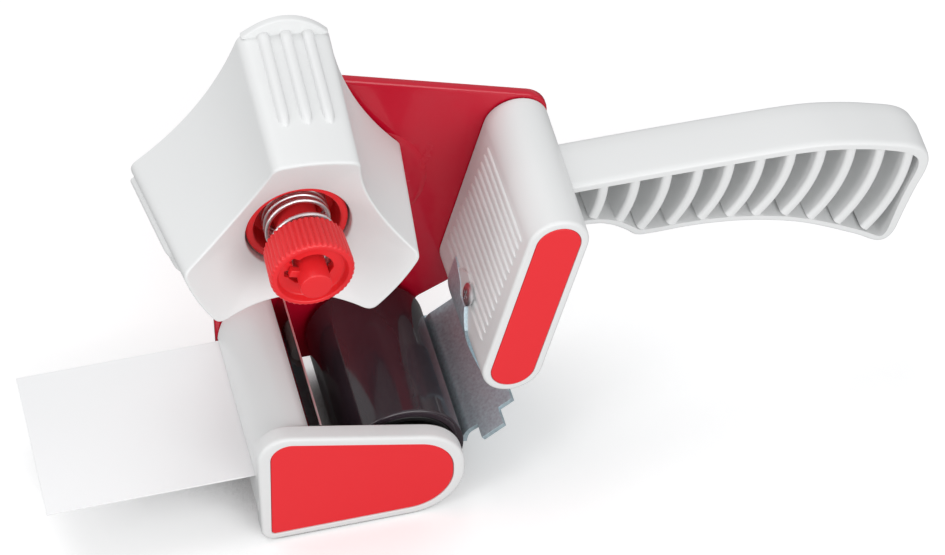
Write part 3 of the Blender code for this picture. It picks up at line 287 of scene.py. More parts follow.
def together(shapes):
    """Several closed shapes as one."""
    whole = bmesh.new()
    for shape in shapes:
        carried = bpy.data.meshes.new("carried")
        bmesh.ops.recalc_face_normals(shape, faces=shape.faces)
        shape.to_mesh(carried)
        shape.free()
        whole.from_mesh(carried)
        bpy.data.meshes.remove(carried)
    return whole


def as_object(shape, name="blank"):
    """The shape as an object in the scene."""
    mesh = bpy.data.meshes.new(name)
    shape.to_mesh(mesh)
    shape.free()
    thing = bpy.data.objects.new(name, mesh)
    scene.collection.objects.link(thing)
    return thing


def plain_copy(thing):
    """The evaluated object as a shape, the object itself taken away."""
    bpy.context.view_layer.update()
    made = bpy.data.meshes.new_from_object(thing.evaluated_get(bpy.context.evaluated_depsgraph_get()))
    shape = bmesh.new()
    shape.from_mesh(made)
    bpy.data.meshes.remove(made)
    bpy.data.objects.remove(thing, do_unlink=True)
    return shape


def cut(shape, tools):
    """The shape with every tool cut out of it."""
    for part in [shape, *tools]:
        bmesh.ops.remove_doubles(part, verts=part.verts, dist=0.001)
        bmesh.ops.recalc_face_normals(part, faces=part.faces)
    blank = as_object(shape)
    cutters = [as_object(tool, "cutter") for tool in tools]
    for cutter in cutters:
        modifier = blank.modifiers.new("cut", "BOOLEAN")
        modifier.operation = "DIFFERENCE"
        modifier.object = cutter
        modifier.solver = "EXACT"
    made = plain_copy(blank)
    for cutter in cutters:
        bpy.data.objects.remove(cutter, do_unlink=True)
    return made


def hand_over(name, shape, finish, body="frame", nodes=(), ease=0.0, sharp=45.0, in_frame=False):
    """The finished piece: in its place in the frame, smooth, with its finish, riding on its body."""
    if not in_frame:
        bmesh.ops.remove_doubles(shape, verts=shape.verts, dist=0.002)
        bmesh.ops.recalc_face_normals(shape, faces=shape.faces)
        shape.transform(into_frame)
    piece = as_object(shape, name)
    piece.data.shade_smooth()
    piece.data.set_sharp_from_angle(angle=math.radians(sharp))
    piece.data.materials.append(finish)
    if ease:
        soften = piece.modifiers.new("eased edges", "BEVEL")
        soften.width = ease / 1000
        soften.segments = 3
        soften.limit_method = "ANGLE"
        soften.angle_limit = math.radians(38)
        soften.harden_normals = True
    else:
        even = piece.modifiers.new("even shading", "WEIGHTED_NORMAL")
        even.keep_sharp = True
    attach(piece, body)
    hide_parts(*(nodes or [name]))
    return piece


def finish(name, tints, patch, shine, grain, relief, metal=0.0, coat=0.0, stretch=(1.0, 1.0, 1.0), **more):
    """Two tints in soft patches, a shine that wanders between two values and a fine grain in relief."""
    material = bpy.data.materials.new(name)
    material.use_nodes = True
    tree = material.node_tree
    where = add(tree, "ShaderNodeTexCoord").outputs["Object"]
    spread = add(tree, "ShaderNodeMapping", {"Scale": stretch, "Vector": where}).outputs["Vector"]

    def noise(scale, detail):
        return add(tree, "ShaderNodeTexNoise", {"Scale": scale, "Detail": detail, "Vector": spread}).outputs["Fac"]

    tint = add(tree, "ShaderNodeMix", {
        0: noise(patch, 3.0), 6: (*tints[0], 1.0), 7: (*tints[1], 1.0)}, data_type="RGBA")
    wander = add(tree, "ShaderNodeMapRange", {
        "From Min": 0.3, "From Max": 0.7, "To Min": shine[0], "To Max": shine[1], "Value": noise(patch * 3.0, 5.0)})
    bump = add(tree, "ShaderNodeBump", {"Strength": relief, "Distance": 0.00005, "Height": noise(grain, 2.0)})
    feed(tree, tree.nodes["Principled BSDF"], {
        "Metallic": metal, "Coat Weight": coat, "Base Color": tint.outputs[2], "Roughness": wander.outputs["Result"],
        "Normal": bump.outputs["Normal"], **{socket.replace("_", " "): value for socket, value in more.items()}})
    return material


crimson_enamel = finish("crimson_enamel", ((0.55, 0.003, 0.024), (0.48, 0.002, 0.018)), 30.0, (0.2, 0.28),
                        260.0, 0.3, coat=0.35, Coat_Roughness=0.06, Specular_IOR_Level=0.35)

plate_outline = rounded(plate_corners, 10)
plate_sheet_rings = eased_rings([
    (level(inset(plate_outline, 3.3), 0.0), 0), (level(plate_outline, 0.0), plate_edge_roll),
    (level(plate_outline, plate_rim), 0.25), (level(inset(plate_outline, plate_sheet), plate_rim), 0.25),
    (level(inset(plate_outline, plate_sheet), plate_sheet), 0.35),
    (level(inset(plate_outline, 2.2), plate_sheet), 0)])
swage = turned([(0.0, -swage_height), (swage_radius - 1.6, -swage_height), (swage_radius, 0.05),
                (swage_radius, 0.6), (0.0, 0.6)], 1.0, 120, swage_centre)


def on_blade(down, left):
    """A point in the blade's section: so far down from its top edge and so far out to the left."""
    return blade_top + blade_down * down + blade_left * left


tab_outline = rounded(tab_corners, 5)
tab_sides = []
for left in tab_faces:
    tab_sides.append([Vector((on_blade(down, left).x, y, on_blade(down, left).y)) for y, down in tab_outline])
blade_tab = skinned(tab_sides)
hand_over("side_plate", together([skinned(plate_sheet_rings), swage, blade_tab]), crimson_enamel,
          ease=0.25)


# Blade: a hardened 0.6 mm strip, toothed along its lower edge and riveted to the plate's tab with two steel
# rivets. Its top face is near-white metal, partly its ground bare edge and partly a painted highlight for the bright
# line behind the guard.


def grained(name, tints, shine, relief=0.25, along=(1.0, 1.0, 1.0)):
    """Bright rolled metal with a fine grain drawn out one way."""
    return finish(name, tints, 160.0, shine, 900.0, relief, metal=1.0, stretch=along)


def eased_copy(name, metal, ease):
    """A CAD node with its flat faces joined up and its edges broken."""
    shape = bmesh.new()
    shape.from_mesh(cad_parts[name].data)
    bmesh.ops.remove_doubles(shape, verts=shape.verts, dist=0.000002)
    bmesh.ops.dissolve_limit(shape, angle_limit=math.radians(0.6), verts=shape.verts, edges=shape.edges)
    return hand_over(name, shape, metal, ease=ease, in_frame=True)


blade_steel = grained("blade_steel", ((0.62, 0.59, 0.56), (0.54, 0.51, 0.49)), (0.06, 0.12), 0.05, (1.0, 0.15, 1.0))
rivet_steel = grained("rivet_steel", ((0.66, 0.66, 0.67), (0.56, 0.56, 0.57)), (0.16, 0.3), 0.15)
blade = eased_copy("cutter_blade", blade_steel, 0.06)
# Near-white metal for the blade's top face: ground bare steel, brightened further as a painted highlight.
ground_edge_and_painted_highlight = grained("ground_edge_and_painted_highlight", ((0.95, 0.94, 0.93), (0.85, 0.84, 0.83)), (0.4, 0.55))
blade.data.materials.append(ground_edge_and_painted_highlight)
for face in blade.data.polygons:
    if face.normal.dot(Vector((-blade_down.x, 0.0, -blade_down.y))) > 0.9:
        face.material_index = 1


def new_tree(name, sizes):
    """An empty Geometry Nodes tree with a named input for each size, and a material input."""
    tree = bpy.data.node_groups.new(name, "GeometryNodeTree")
    tree.interface.new_socket("Geometry", in_out="INPUT", socket_type="NodeSocketGeometry")
    for size, value in sizes.items():
        socket = tree.interface.new_socket(size, in_out="INPUT", socket_type="NodeSocketFloat")
        socket.default_value = value
    tree.interface.new_socket("Finish", in_out="INPUT", socket_type="NodeSocketMaterial")
    tree.interface.new_socket("Geometry", in_out="OUTPUT", socket_type="NodeSocketGeometry")
    return tree, tree.nodes.new("NodeGroupInput").outputs, tree.nodes.new("NodeGroupOutput").inputs


def finish_tree(tree, sizes_in, shape_out, geometry):
    """Realize Instances and Set Material, the way every tree here ends."""
    real = add(tree, "GeometryNodeRealizeInstances", {"Geometry": geometry}).outputs["Geometry"]
    coated = add(tree, "GeometryNodeSetMaterial", {"Geometry": real, "Material": sizes_in["Finish"]})
    tree.links.new(coated.outputs["Geometry"], shape_out["Geometry"])


def grown(tree, material, sizes, shape=None):
    """What the tree makes with these sizes, as a shape."""
    thing = as_object(shape or bmesh.new(), "grown")
    modifier = thing.modifiers.new("grown", "NODES")
    modifier.node_group = tree
    for item in tree.interface.items_tree:
        if item.item_type == "SOCKET" and item.in_out == "INPUT" and item.name in sizes:
            modifier[item.identifier] = float(sizes[item.name])
        if item.item_type == "SOCKET" and item.name == "Finish":
            modifier[item.identifier] = material
    return plain_copy(thing)


def maths(tree, operation, *values):
    """What the operation makes of the values."""
    return add(tree, "ShaderNodeMath", enumerate(values), operation=operation).outputs[0]


def times(tree, first, *values):
    """The product of all the values."""
    for value in values:
        first = maths(tree, "MULTIPLY", first, value)
    return first


def coordinates(tree):
    """The X, Y and Z of each point."""
    spot = add(tree, "GeometryNodeInputPosition").outputs["Position"]
    return add(tree, "ShaderNodeSeparateXYZ", {"Vector": spot}).outputs


def put_at(tree, geometry, x, y, z):
    """The geometry with each of its points at these coordinates."""
    spot = add(tree, "ShaderNodeCombineXYZ", {"X": x, "Y": y, "Z": z}).outputs["Vector"]
    return add(tree, "GeometryNodeSetPosition", {"Geometry": geometry, "Position": spot}).outputs["Geometry"]


def moved_up(tree, geometry, height):
    """The geometry raised by a height."""
    spot = add(tree, "ShaderNodeCombineXYZ", {"Z": height}).outputs["Vector"]
    return add(tree, "GeometryNodeTransform", {"Geometry": geometry, "Translation": spot}).outputs["Geometry"]


def rod(tree, radius, length, sides=40, rings=1):
    """An upright cylinder round the origin, with rings of faces in its ends."""
    return add(tree, "GeometryNodeMeshCylinder", {
        "Vertices": sides, "Fill Segments": rings, "Radius": radius, "Depth": length}).outputs["Mesh"]


def domed(tree, radius, height):
    """A low head that is flat underneath at height 0 and rounded off towards its edge."""
    disc = moved_up(tree, rod(tree, radius, height, 48, 8), times(tree, height, 0.5))
    x, y, z = coordinates(tree)
    across = maths(tree, "ADD", times(tree, x, x), times(tree, y, y))
    share = maths(tree, "DIVIDE", across, times(tree, radius, radius))
    fall = maths(tree, "SQRT", maths(tree, "SUBTRACT", 1.0, times(tree, 0.8, maths(tree, "POWER", share, 2.4))))
    return put_at(tree, disc, x, y, times(tree, z, fall))


def swept(tree, line, section):
    """A section drawn along a line of edges, closed at its ends."""
    path = add(tree, "GeometryNodeMeshToCurve", {"Mesh": line}).outputs["Curve"]
    return add(tree, "GeometryNodeCurveToMesh", {
        "Curve": path, "Profile Curve": section, "Fill Caps": True}).outputs["Mesh"]


def joined(tree, *parts):
    """The parts as one geometry."""
    node = tree.nodes.new("GeometryNodeJoinGeometry")
    for part in parts:
        tree.links.new(part, node.inputs["Geometry"])
    return node.outputs["Geometry"]


rivet_tree, sizes_in, shape_out = new_tree("rivet", {"Head": 2.2, "Height": 0.8, "Shank": 1.4, "Grip": 2.7})
near_head = domed(rivet_tree, sizes_in["Head"], sizes_in["Height"])
flipped = add(rivet_tree, "GeometryNodeTransform", {"Geometry": near_head, "Rotation": (math.pi, 0.0, 0.0)})
rivet_shank = moved_up(rivet_tree, rod(rivet_tree, sizes_in["Shank"], sizes_in["Grip"]),
                       times(rivet_tree, sizes_in["Grip"], 0.5))
finish_tree(rivet_tree, sizes_in, shape_out, joined(
    rivet_tree, flipped.outputs["Geometry"], moved_up(rivet_tree, near_head, sizes_in["Grip"]), rivet_shank))


def stood(shape, foot, outwards):
    """A shape that was made upright, stood on its foot and turned outwards."""
    turn = Vector(outwards).to_track_quat("Z", "Y").to_matrix().to_4x4()
    shape.transform(Matrix.Translation(foot) @ turn)
    return shape


off_blade = Vector((blade_left.x, 0.0, blade_left.y))
for rivet_name, rivet_y in zip(("blade_rivet_far", "blade_rivet_near"), blade_rivet_ys):
    spot = on_blade(blade_rivet_down, 0.0)
    foot = Vector((spot.x, rivet_y, spot.y)) - off_blade * 0.9
    rivet = grown(rivet_tree, rivet_steel, {"Head": 2.2, "Height": 0.8, "Shank": 1.4, "Grip": 2.7})
    hand_over(rivet_name, stood(rivet, foot, off_blade), rivet_steel)


# Roller: a glossy black polyurethane sleeve pressed on a moulded core, which turns on a steel axle riveted to the
# plate. A washer and a spring clip keep it in place.

roller_place = (23.2, 0.0, -80.0)
roller_radius = 16.6
roller_bore = 14.2
roller_far = -2.5
roller_near = -49.9
core_rim = 13.9
axle_profile = ((0.0, -51.3), (3.7, -51.3), (3.7, -48.9), (3.1, -48.9), (3.1, -47.8), (3.7, -47.8), (3.7, -1.3),
                (6.0, -1.3), (6.0, -0.3), (3.7, -0.3), (3.7, 1.5), (6.0, 1.5), (6.0, 2.8), (0.0, 2.8))

# The sleeve's near-black carries a faint purple cast: a painted reflection of the red plate.
roller_gloss = finish("roller_gloss", ((0.026, 0.018, 0.023), (0.04, 0.028, 0.036)), 60.0, (0.1, 0.18), 700.0,
                      0.1, coat=0.5, Coat_Roughness=0.05)
core_black = finish("core_black", ((0.012, 0.012, 0.012), (0.02, 0.02, 0.02)), 80.0, (0.35, 0.5), 1800.0, 0.3)
hand_over("roller_sleeve", turned([
    (roller_bore, roller_near), (roller_radius - 0.35, roller_near), (roller_radius, roller_near + 0.35),
    (roller_radius, roller_far), (roller_bore, roller_far)], 0.35, 160, roller_place),
    roller_gloss, "roller")
hand_over("roller_core", turned([
    (4.1, -47.5), (6.5, -47.5), (6.5, -44.9), (12.4, -44.9), (12.4, -49.6), (core_rim, -49.6), (core_rim, -2.8),
    (12.4, -2.8), (12.4, -42.9), (6.5, -42.9), (6.5, -2.5), (4.1, -2.5)], 0.3, 96, roller_place),
    core_black, "roller")
for name, profile, ease, steps in (
        ("roller_axle", axle_profile, 0.3, 72), ("roller_washer", ring_section(4.1, 6.0, -2.2, -1.6), 0.15, 64),
        ("roller_clip", ring_section(3.4, 6.0, -48.75, -47.95), 0.2, 64)):
    hand_over(name, turned(profile, ease, steps, roller_place), rivet_steel)


# Hub: one white moulding with three lobes, wide at the plate and narrower at the open side, whose finger ribs grip
# the tape's core. A crescent on the top lobe keeps the tape off the plate. It turns freely on the spindle.

hub_back = -2.0
hub_front = -45.5
hub_reaches = (36.6, 30.6)
lobe_halves = (11.7, 11.05)
valley_reaches = (24.0, 20.4)
hub_turn = math.radians(82.0)
hub_wall = 2.2
recess_radius = 13.8
recess_rim = -37.0
recess_floor = -24.0
hub_bore = 6.0
hub_boss = 8.6
hub_boss_back = -3.0
recess_floor_back = -21.5
recess_outside = 15.8
recess_foot = -34.8
lobe_crown = 1.1
valley_set_back = 4.3
finger_rib_height = 1.45
finger_rib_half = 1.5
finger_rib_spacing = 5.8
lobe_corner = 2.3
finger_rib_marks = (-1.12, -1.0, -0.94, -0.82, -0.65, -0.42, -0.2, 0.0, 0.2, 0.42, 0.65, 0.82, 0.94, 1.0, 1.12)


def lobed_section(y, shrink=0.0, ribs=0.0):
    """The hub's points at a place along it: over each lobe with its ribs, round the corner, down the valley."""
    share = (hub_back - y) / (hub_back - hub_front)
    reach, half, valley = (wide + (narrow - wide) * share - shrink
                           for wide, narrow in (hub_reaches, lobe_halves, valley_reaches))
    points = []
    offsets = [place * finger_rib_spacing + mark * finger_rib_half
               for place in (-1, 0, 1) for mark in finger_rib_marks]
    flat = half - lobe_corner
    offsets += [-flat, -flat + 0.45, flat - 0.45, flat]
    for lobe in range(3):
        out = Matrix.Rotation(hub_turn + lobe * math.tau / 3, 2)
        following = Matrix.Rotation(hub_turn + (lobe + 1) * math.tau / 3, 2)
        for offset in sorted(offsets):
            surface = reach - lobe_crown * (offset / half) ** 2
            nearest = min(abs(offset - place * finger_rib_spacing) for place in (-1, 0, 1))
            mark = min(nearest / finger_rib_half / max(ribs, 0.01), 1.0)
            lift = finger_rib_height * ribs * math.sqrt(1 - mark ** 2) * (2 - math.sqrt(1 - mark ** 2)) ** 0.5
            points.append((out @ Vector((surface + lift, offset)), 0.0))
        start = out @ Vector((reach - lobe_crown, half))
        end = following @ Vector((reach - lobe_crown, -half))
        chord = (start + end) / 2
        sag = chord.length - valley

        def in_valley(t):
            return start.lerp(end, t) - chord.normalized() * (sag * 4 * t * (1 - t))

        run = lobe_corner / ((in_valley(0.02) - start).length / 0.02)
        here = points[-1][0]
        for step in range(1, 7):
            t = step / 6
            arch = 4 * run * (1 - run) * t * t
            points.append((here.lerp(start, t).lerp(start.lerp(in_valley(run), t), t), arch))
        for step in range(1, 30):
            t = run + (1 - 2 * run) * step / 30
            points.append((in_valley(t), 4 * t * (1 - t)))
        nose = following @ Vector((reach - lobe_crown * (flat / half) ** 2, -flat))
        for step in range(6):
            t = step / 6
            arch = 4 * run * (1 - run) * (1 - t) ** 2
            points.append((in_valley(1 - run).lerp(end, t).lerp(end.lerp(nose, t), t), arch))
    return [Vector((spot.x, y + valley_set_back * share * arch, spot.y)) for spot, arch in points]


def round_ring(pattern, radius, y):
    """A circle with a point straight inside each point of another ring."""
    return [Vector((radius * p.x / math.hypot(p.x, p.z), y, radius * p.z / math.hypot(p.x, p.z))) for p in pattern]


white_plastic = finish("white_plastic", ((0.775, 0.78, 0.778), (0.745, 0.755, 0.755)), 18.0, (0.36, 0.5), 2600.0, 0.16,
                       Specular_IOR_Level=0.4)
rib_levels = ((hub_back, 1.0), (-6.0, 1.0), (-12.0, 1.0), (-18.0, 1.0), (-24.0, 1.0), (-28.5, 0.98), (-30.0, 0.92),
              (-31.0, 0.82), (-31.8, 0.66), (-32.3, 0.5), (-32.7, 0.3), (-33.0, 0.0), (-38.0, 0.0), (-42.0, 0.0))
outside = [(lobed_section(y, 0.0, ribs), 0) for y, ribs in rib_levels]
front_edge = lobed_section(hub_front)
dish_edge = round_ring(front_edge, recess_radius, recess_rim)
inside_back = lobed_section(hub_back, hub_wall)
inside_front = lobed_section(hub_front + hub_wall, hub_wall)
recess_profile = (
    (recess_radius, recess_floor, 0.4), (hub_bore, recess_floor, 0.3), (hub_bore, hub_boss_back, 0.3),
    (hub_boss, hub_boss_back, 0.3), (hub_boss, recess_floor_back, 0.6), (recess_outside, recess_floor_back, 0.6),
    (recess_outside, recess_foot, 0.4), (recess_outside + 2.0, recess_foot, 0.4))
hub_rings = [
    *outside, (front_edge, 1.1),
    *[([a.lerp(b, share) for a, b in zip(front_edge, dish_edge)], 0) for share in (0.2, 0.4, 0.6, 0.8)],
    (dish_edge, 0.5), *[(round_ring(front_edge, radius, y), ease) for radius, y, ease in recess_profile],
    (inside_front, 0.6), (inside_back, 0)]
hub_skin = skinned(eased_rings(hub_rings, 5), closed=True)
crescent = [Vector((35.4, -11.3)), Vector((35.4, 11.3))]
for step in range(33):
    side = 1 - step / 16
    crescent.append(Vector((35.9 + 5.3 * (1 - side * side), 11.4 * side)))
crescent = [Matrix.Rotation(hub_turn, 2) @ point for point in crescent]


def between_points(outline):
    """The outline shrunk towards its own middle."""
    centre = sum(outline, Vector((0.0, 0.0))) / len(outline)
    return [point.lerp(centre, 0.3) for point in outline]


crescent_rings = eased_rings([(level(between_points(crescent), -3.8), 0), (level(crescent, -3.8), 0.75),
                              (level(crescent, -1.8), 0.3), (level(between_points(crescent), -1.8), 0)], 4)
hand_over("hub", together([hub_skin, skinned(crescent_rings)]), white_plastic, "hub", ["hub_core"])


# Brake: the red spindle, with a post through the hub's front, holds a felt ring, a red cup, a spring, a washer and
# the fluted knob that presses them together. Turning the knob sets how hard the tape runs off.

post_end = -58.0
post_radius = 4.05
knob_front = -54.0
knob_back = -43.4
knob_radius = 11.0
knob_waist = 10.6
flute_count = 44
flute_depth = 0.5
web_near = -52.0
web_far = -49.3
lug_turn = math.radians(160.0)
keyhole = ((0, 5.7), (60, 5.6), (105, 5.3), (124, 5.2), (130, 6.8), (143, 6.9), (150, 5.3), (164, 5.2), (170, 7.0),
           (184, 7.0), (192, 6.0), (215, 5.5), (240, 4.7), (300, 4.5), (340, 5.1), (360, 5.7))

knob_red = finish("knob_red", ((0.82, 0.026, 0.032), (0.76, 0.02, 0.025)), 40.0, (0.28, 0.4), 2200.0, 0.12,
                  Subsurface_Weight=0.08, Subsurface_Scale=0.001)
felt_grey = finish("felt_grey", ((0.12, 0.12, 0.12), (0.3, 0.3, 0.3)), 900.0, (0.85, 1.0), 5000.0, 1.0)
spindle_shape = turned([(0.0, post_end), (post_radius, post_end), (post_radius, -44.5), (5.6, -44.5), (5.6, -2.0),
                        (9.5, -2.0), (9.5, -0.3), (0.0, -0.3)], 0.4, 96)
lug = [Matrix.Rotation(lug_turn, 2) @ Vector(point) for point in ((0.0, -1.1), (6.15, -1.1), (6.15, 1.1), (0.0, 1.1))]
hand_over("spindle", together([spindle_shape, pushed(lug, -54.0, -52.2)]), knob_red, ease=0.2)
hand_over("brake_felt", turned(ring_section(6.6, 12.4, -25.7, -24.3), 0.3, 96), felt_grey, "hub")
hand_over("brake_cup", turned([
    (5.9, -26.0), (13.3, -26.0), (13.3, -35.0), (12.9, -35.4), (11.7, -35.4), (11.3, -35.0), (11.2, -27.8),
    (5.9, -27.8)], 0.35, 128), knob_red)
spring_steel = grained("spring_steel", ((0.95, 0.95, 0.96), (0.86, 0.86, 0.87)), (0.3, 0.4), 0.1)
hand_over("brake_washer", turned(ring_section(4.45, 8.85, -49.0, -47.8), 0.2, 96), spring_steel,
          "brake_seat")


def round_about(radius, angle, y):
    """The point at this radius and angle round the hub's axis."""
    return Vector((radius * math.cos(angle), y, radius * math.sin(angle)))


wire = 1.35
spring_radius = 8.2
spring_first = -28.1 - wire / 2
spring_last = -47.5 + wire / 2
close_turns, open_turns, dead_turns = 3.25, 1.5, 1.0
close_pitch, dead_pitch = 2.0, 3.5
open_pitch = (spring_first - spring_last - close_turns * close_pitch - dead_turns * dead_pitch) / open_turns
coil_steps = 48
coil = bmesh.new()
coil_points = []
for step in range(round((close_turns + open_turns + dead_turns) * coil_steps) + 1):
    turn = step / coil_steps
    along = min(turn, close_turns) * close_pitch + min(max(turn - close_turns, 0.0), open_turns) * open_pitch
    along += max(turn - close_turns - open_turns, 0.0) * dead_pitch
    coil_points.append(coil.verts.new(round_about(spring_radius, math.tau * turn, spring_first - along)))
for pair in zip(coil_points, coil_points[1:]):
    coil.edges.new(pair)

wire_tree, sizes_in, shape_out = new_tree("bent_wire", {"Wire": wire})
ring_curve = add(wire_tree, "GeometryNodeCurvePrimitiveCircle", {
    "Resolution": 14, "Radius": times(wire_tree, sizes_in["Wire"], 0.5)})
finish_tree(wire_tree, sizes_in, shape_out, swept(wire_tree, sizes_in["Geometry"], ring_curve.outputs["Curve"]))
hand_over("brake_spring", grown(wire_tree, spring_steel, {"Wire": wire}, coil), spring_steel)

knob_count = flute_count * 10


def knob_ring(radius, y, depth=0.0):
    """A ring of the knob with its flutes cut so deep."""
    ring = []
    for step in range(knob_count):
        angle = math.tau * step / knob_count
        groove = (0.5 + 0.5 * math.cos(flute_count * angle)) ** 1.6
        ring.append(round_about(radius - depth * groove, angle, y))
    return ring


def keyhole_ring(y):
    """The hole in the knob's web, with the teeth that the post's lug rides over."""
    ring = []
    for step in range(knob_count):
        angle = 360 * step / knob_count
        for (low, start), (high, end) in zip(keyhole, keyhole[1:]):
            if low <= angle <= high:
                share = (angle - low) / (high - low)
                reach = start + (end - start) * share * share * (3 - 2 * share)
        ring.append(round_about(reach, math.radians(angle), y))
    return ring


knob_slope = (knob_radius - knob_waist) / (knob_back - knob_front)
knob_rings = [(knob_ring(knob_waist, knob_back, flute_depth), 0.35)]
for depth_share, place, sunk in ((1.0, 1.6, 0.0), (1.0, 1.2, 0.02), (0.9, 0.9, 0.07), (0.75, 0.6, 0.17),
                                 (0.5, 0.35, 0.34), (0.25, 0.18, 0.58)):
    knob_rings.append((knob_ring(knob_radius - knob_slope * place - sunk, knob_front + place,
                                 flute_depth * depth_share), 0))
knob_rings += [
    (knob_ring(knob_radius - 0.9, knob_front + 0.08, 0.04), 0), (knob_ring(knob_radius - 1.2, knob_front), 0),
    (knob_ring(9.2, knob_front), 0.35), (knob_ring(8.6, web_near), 0.5), (keyhole_ring(web_near), 0.2),
    (keyhole_ring(web_far), 0.2), (knob_ring(9.2, web_far), 0.4), (knob_ring(9.2, knob_back), 0.25)]
hand_over("brake_knob", skinned(eased_rings(knob_rings, 4), closed=True), knob_red, "knob", sharp=60.0)


# Guard: a white moulding of a hood over the blade and a D-shaped cap at the open side, with a red plastic inlay
# glued in the cap. It is screwed to the plate from behind and to the axle's end under the inlay.

guard_corners = ((-17.7, -54.95, 7.6), (38.5, -69.57, 14.4), (38.5, -97.5, 14.8), (-17.7, -96.95, 3.8))
inlay_corners = ((-15.9, -55.95, 6.9), (37.2, -70.2, 13.8), (37.2, -96.75, 13.9), (-17.05, -96.6, 3.2))
guard_front = -57.0
cap_far = -52.0
cap_inside = -53.8
cap_rim = 1.9
inlay_seat = -55.8
inlay_front = -56.8
inlay_thickness = 0.7
inlay_gap = 0.12
guard_wall = 2.0
hood_left = -18.0
hood_width = 15.7
hood_top = -54.8
hood_height = 41.9
hood_near = -54.8
hood_far = -0.6
hood_shares = ((1.00, 0.225), (0.985, 0.172), (0.86, 0.134), (0.61, 0.148), (0.36, 0.224), (0.17, 0.329),
               (0.055, 0.458), (0.02, 0.60), (0.005, 0.745))
flap_z = -76.5


def smooth_line(points, steps):
    """A Catmull-Rom curve through the points."""
    ends = [Vector(point) for point in (points[0], *points, points[-1])]
    curve = []
    for a, b, c, d in zip(ends, ends[1:], ends[2:], ends[3:]):
        for step in range(steps):
            t = step / steps
            curve.append(0.5 * (2 * b + (c - a) * t + (2 * a - 5 * b + 4 * c - d) * t * t
                                + (3 * b - a - 3 * c + d) * t ** 3))
    curve.append(ends[-1])
    return curve


def strip(points, thickness):
    """The section of a sheet whose left face, going along the points, is the given line."""
    other = []
    for index, here in enumerate(points):
        along = (points[min(index + 1, len(points) - 1)] - points[max(index - 1, 0)]).normalized()
        other.append(here + Vector((along.y, -along.x)) * thickness)
    return list(points) + other[::-1]


def bar(left, right, bottom, top):
    """The outline of an upright rectangle."""
    return [Vector(corner) for corner in ((left, bottom), (right, bottom), (right, top), (left, top))]


guard_outline = rounded(guard_corners, 16)
inlay_outline = rounded(inlay_corners, 16)
seat_outline = inset(inlay_outline, cap_rim)
cap = skinned(eased_rings([
    (level(inset(guard_outline, 4.0), cap_inside), 0), (level(inset(guard_outline, guard_wall), cap_inside), 0.4),
    (level(inset(guard_outline, guard_wall), cap_far), 0.3), (level(guard_outline, cap_far), 0.5),
    (level(guard_outline, guard_front), 1.2), (level(seat_outline, guard_front), 0.2),
    (level(seat_outline, inlay_seat), 0.2), (level(inset(seat_outline, 2.0), inlay_seat), 0)], 6))
hood_line = smooth_line([(hood_left + hood_width * x, hood_top - hood_height * z) for x, z in hood_shares], 10)
hood = cut(pushed(strip(hood_line[::-1], guard_wall), hood_near, hood_far),
           [pushed(bar(-20.0, -15.0, flap_z - 0.55, flap_z + 0.55), -50.9, 2.0)])
shelf = pushed(bar(-17.3, -9.0, -78.85, -77.05), hood_near, hood_far)
guard_lug = turned(ring_section(0.0, 3.6, -11.0, -0.9), 0.2, 48, (-11.2, 0.0, -69.8))
guard_boss = turned([(0.0, -54.5), (6.0, -54.5), (6.0, -50.5), (4.0, -50.5), (4.0, -51.6), (0.0, -51.6)], 0.2, 64,
                    roller_place)
hand_over("guard", together([cap, hood, shelf, guard_lug, guard_boss]), white_plastic, ease=0.35)

inlay_red = finish("inlay_red", ((0.84, 0.033, 0.042), (0.79, 0.024, 0.032)), 12.0, (0.32, 0.36), 1200.0, 0.05,
                   Specular_IOR_Level=0.4)


def inlay(outline, near):
    """A thin moulded inlay with a broken edge."""
    return skinned(eased_rings([(level(outline, near + inlay_thickness), 0.1), (level(outline, near), 0.3),
                                (level(inset(outline, 0.8), near), 0)], 4))


hand_over("guard_inlay", inlay(inset(inlay_outline, cap_rim + inlay_gap), inlay_front), inlay_red)

screw_tree, sizes_in, shape_out = new_tree("cross_head_screw", {
    "Head": 4.2, "Height": 2.0, "Shank": 2.1, "Length": 11.0, "Slot": 0.7, "Reach": 2.2})
blank_head = domed(screw_tree, sizes_in["Head"], sizes_in["Height"])
recess = add(screw_tree, "GeometryNodeMeshBoolean", {"Mesh 1": blank_head}, operation="DIFFERENCE", solver="EXACT")
for long_way, wide_way in (("Reach", "Slot"), ("Slot", "Reach")):
    arm_size = add(screw_tree, "ShaderNodeCombineXYZ", {
        "X": times(screw_tree, sizes_in[long_way], 2.0), "Y": times(screw_tree, sizes_in[wide_way], 2.0),
        "Z": sizes_in["Height"]})
    arm = add(screw_tree, "GeometryNodeMeshCube", {"Size": arm_size.outputs["Vector"]})
    screw_tree.links.new(moved_up(screw_tree, arm.outputs["Mesh"], sizes_in["Height"]), recess.inputs["Mesh 2"])
screw_shank = moved_up(screw_tree, rod(screw_tree, sizes_in["Shank"], sizes_in["Length"]),
                       times(screw_tree, sizes_in["Length"], -0.499))
finish_tree(screw_tree, sizes_in, shape_out, joined(screw_tree, recess.outputs["Mesh"], screw_shank))
screw_zinc = grained("screw_zinc", ((0.86, 0.85, 0.86), (0.72, 0.71, 0.73)), (0.32, 0.44), 0.2)


def screw(name, foot, outwards, head, height, shank, length):
    """A cross-head screw with the underside of its head at the foot."""
    made = grown(screw_tree, screw_zinc, {"Head": head, "Height": height, "Shank": shank, "Length": length,
                                          "Slot": head * 0.09, "Reach": head * 0.52})
    hand_over(name, stood(made, foot, outwards), screw_zinc, sharp=35.0)


screw("guard_plate_screw", (-11.2, 1.5, -69.8), (0.0, 1.0, 0.0), 3.7, 2.0, 1.5, 8.0)
eased_copy("guard_cap_screw", screw_zinc, 0.1)


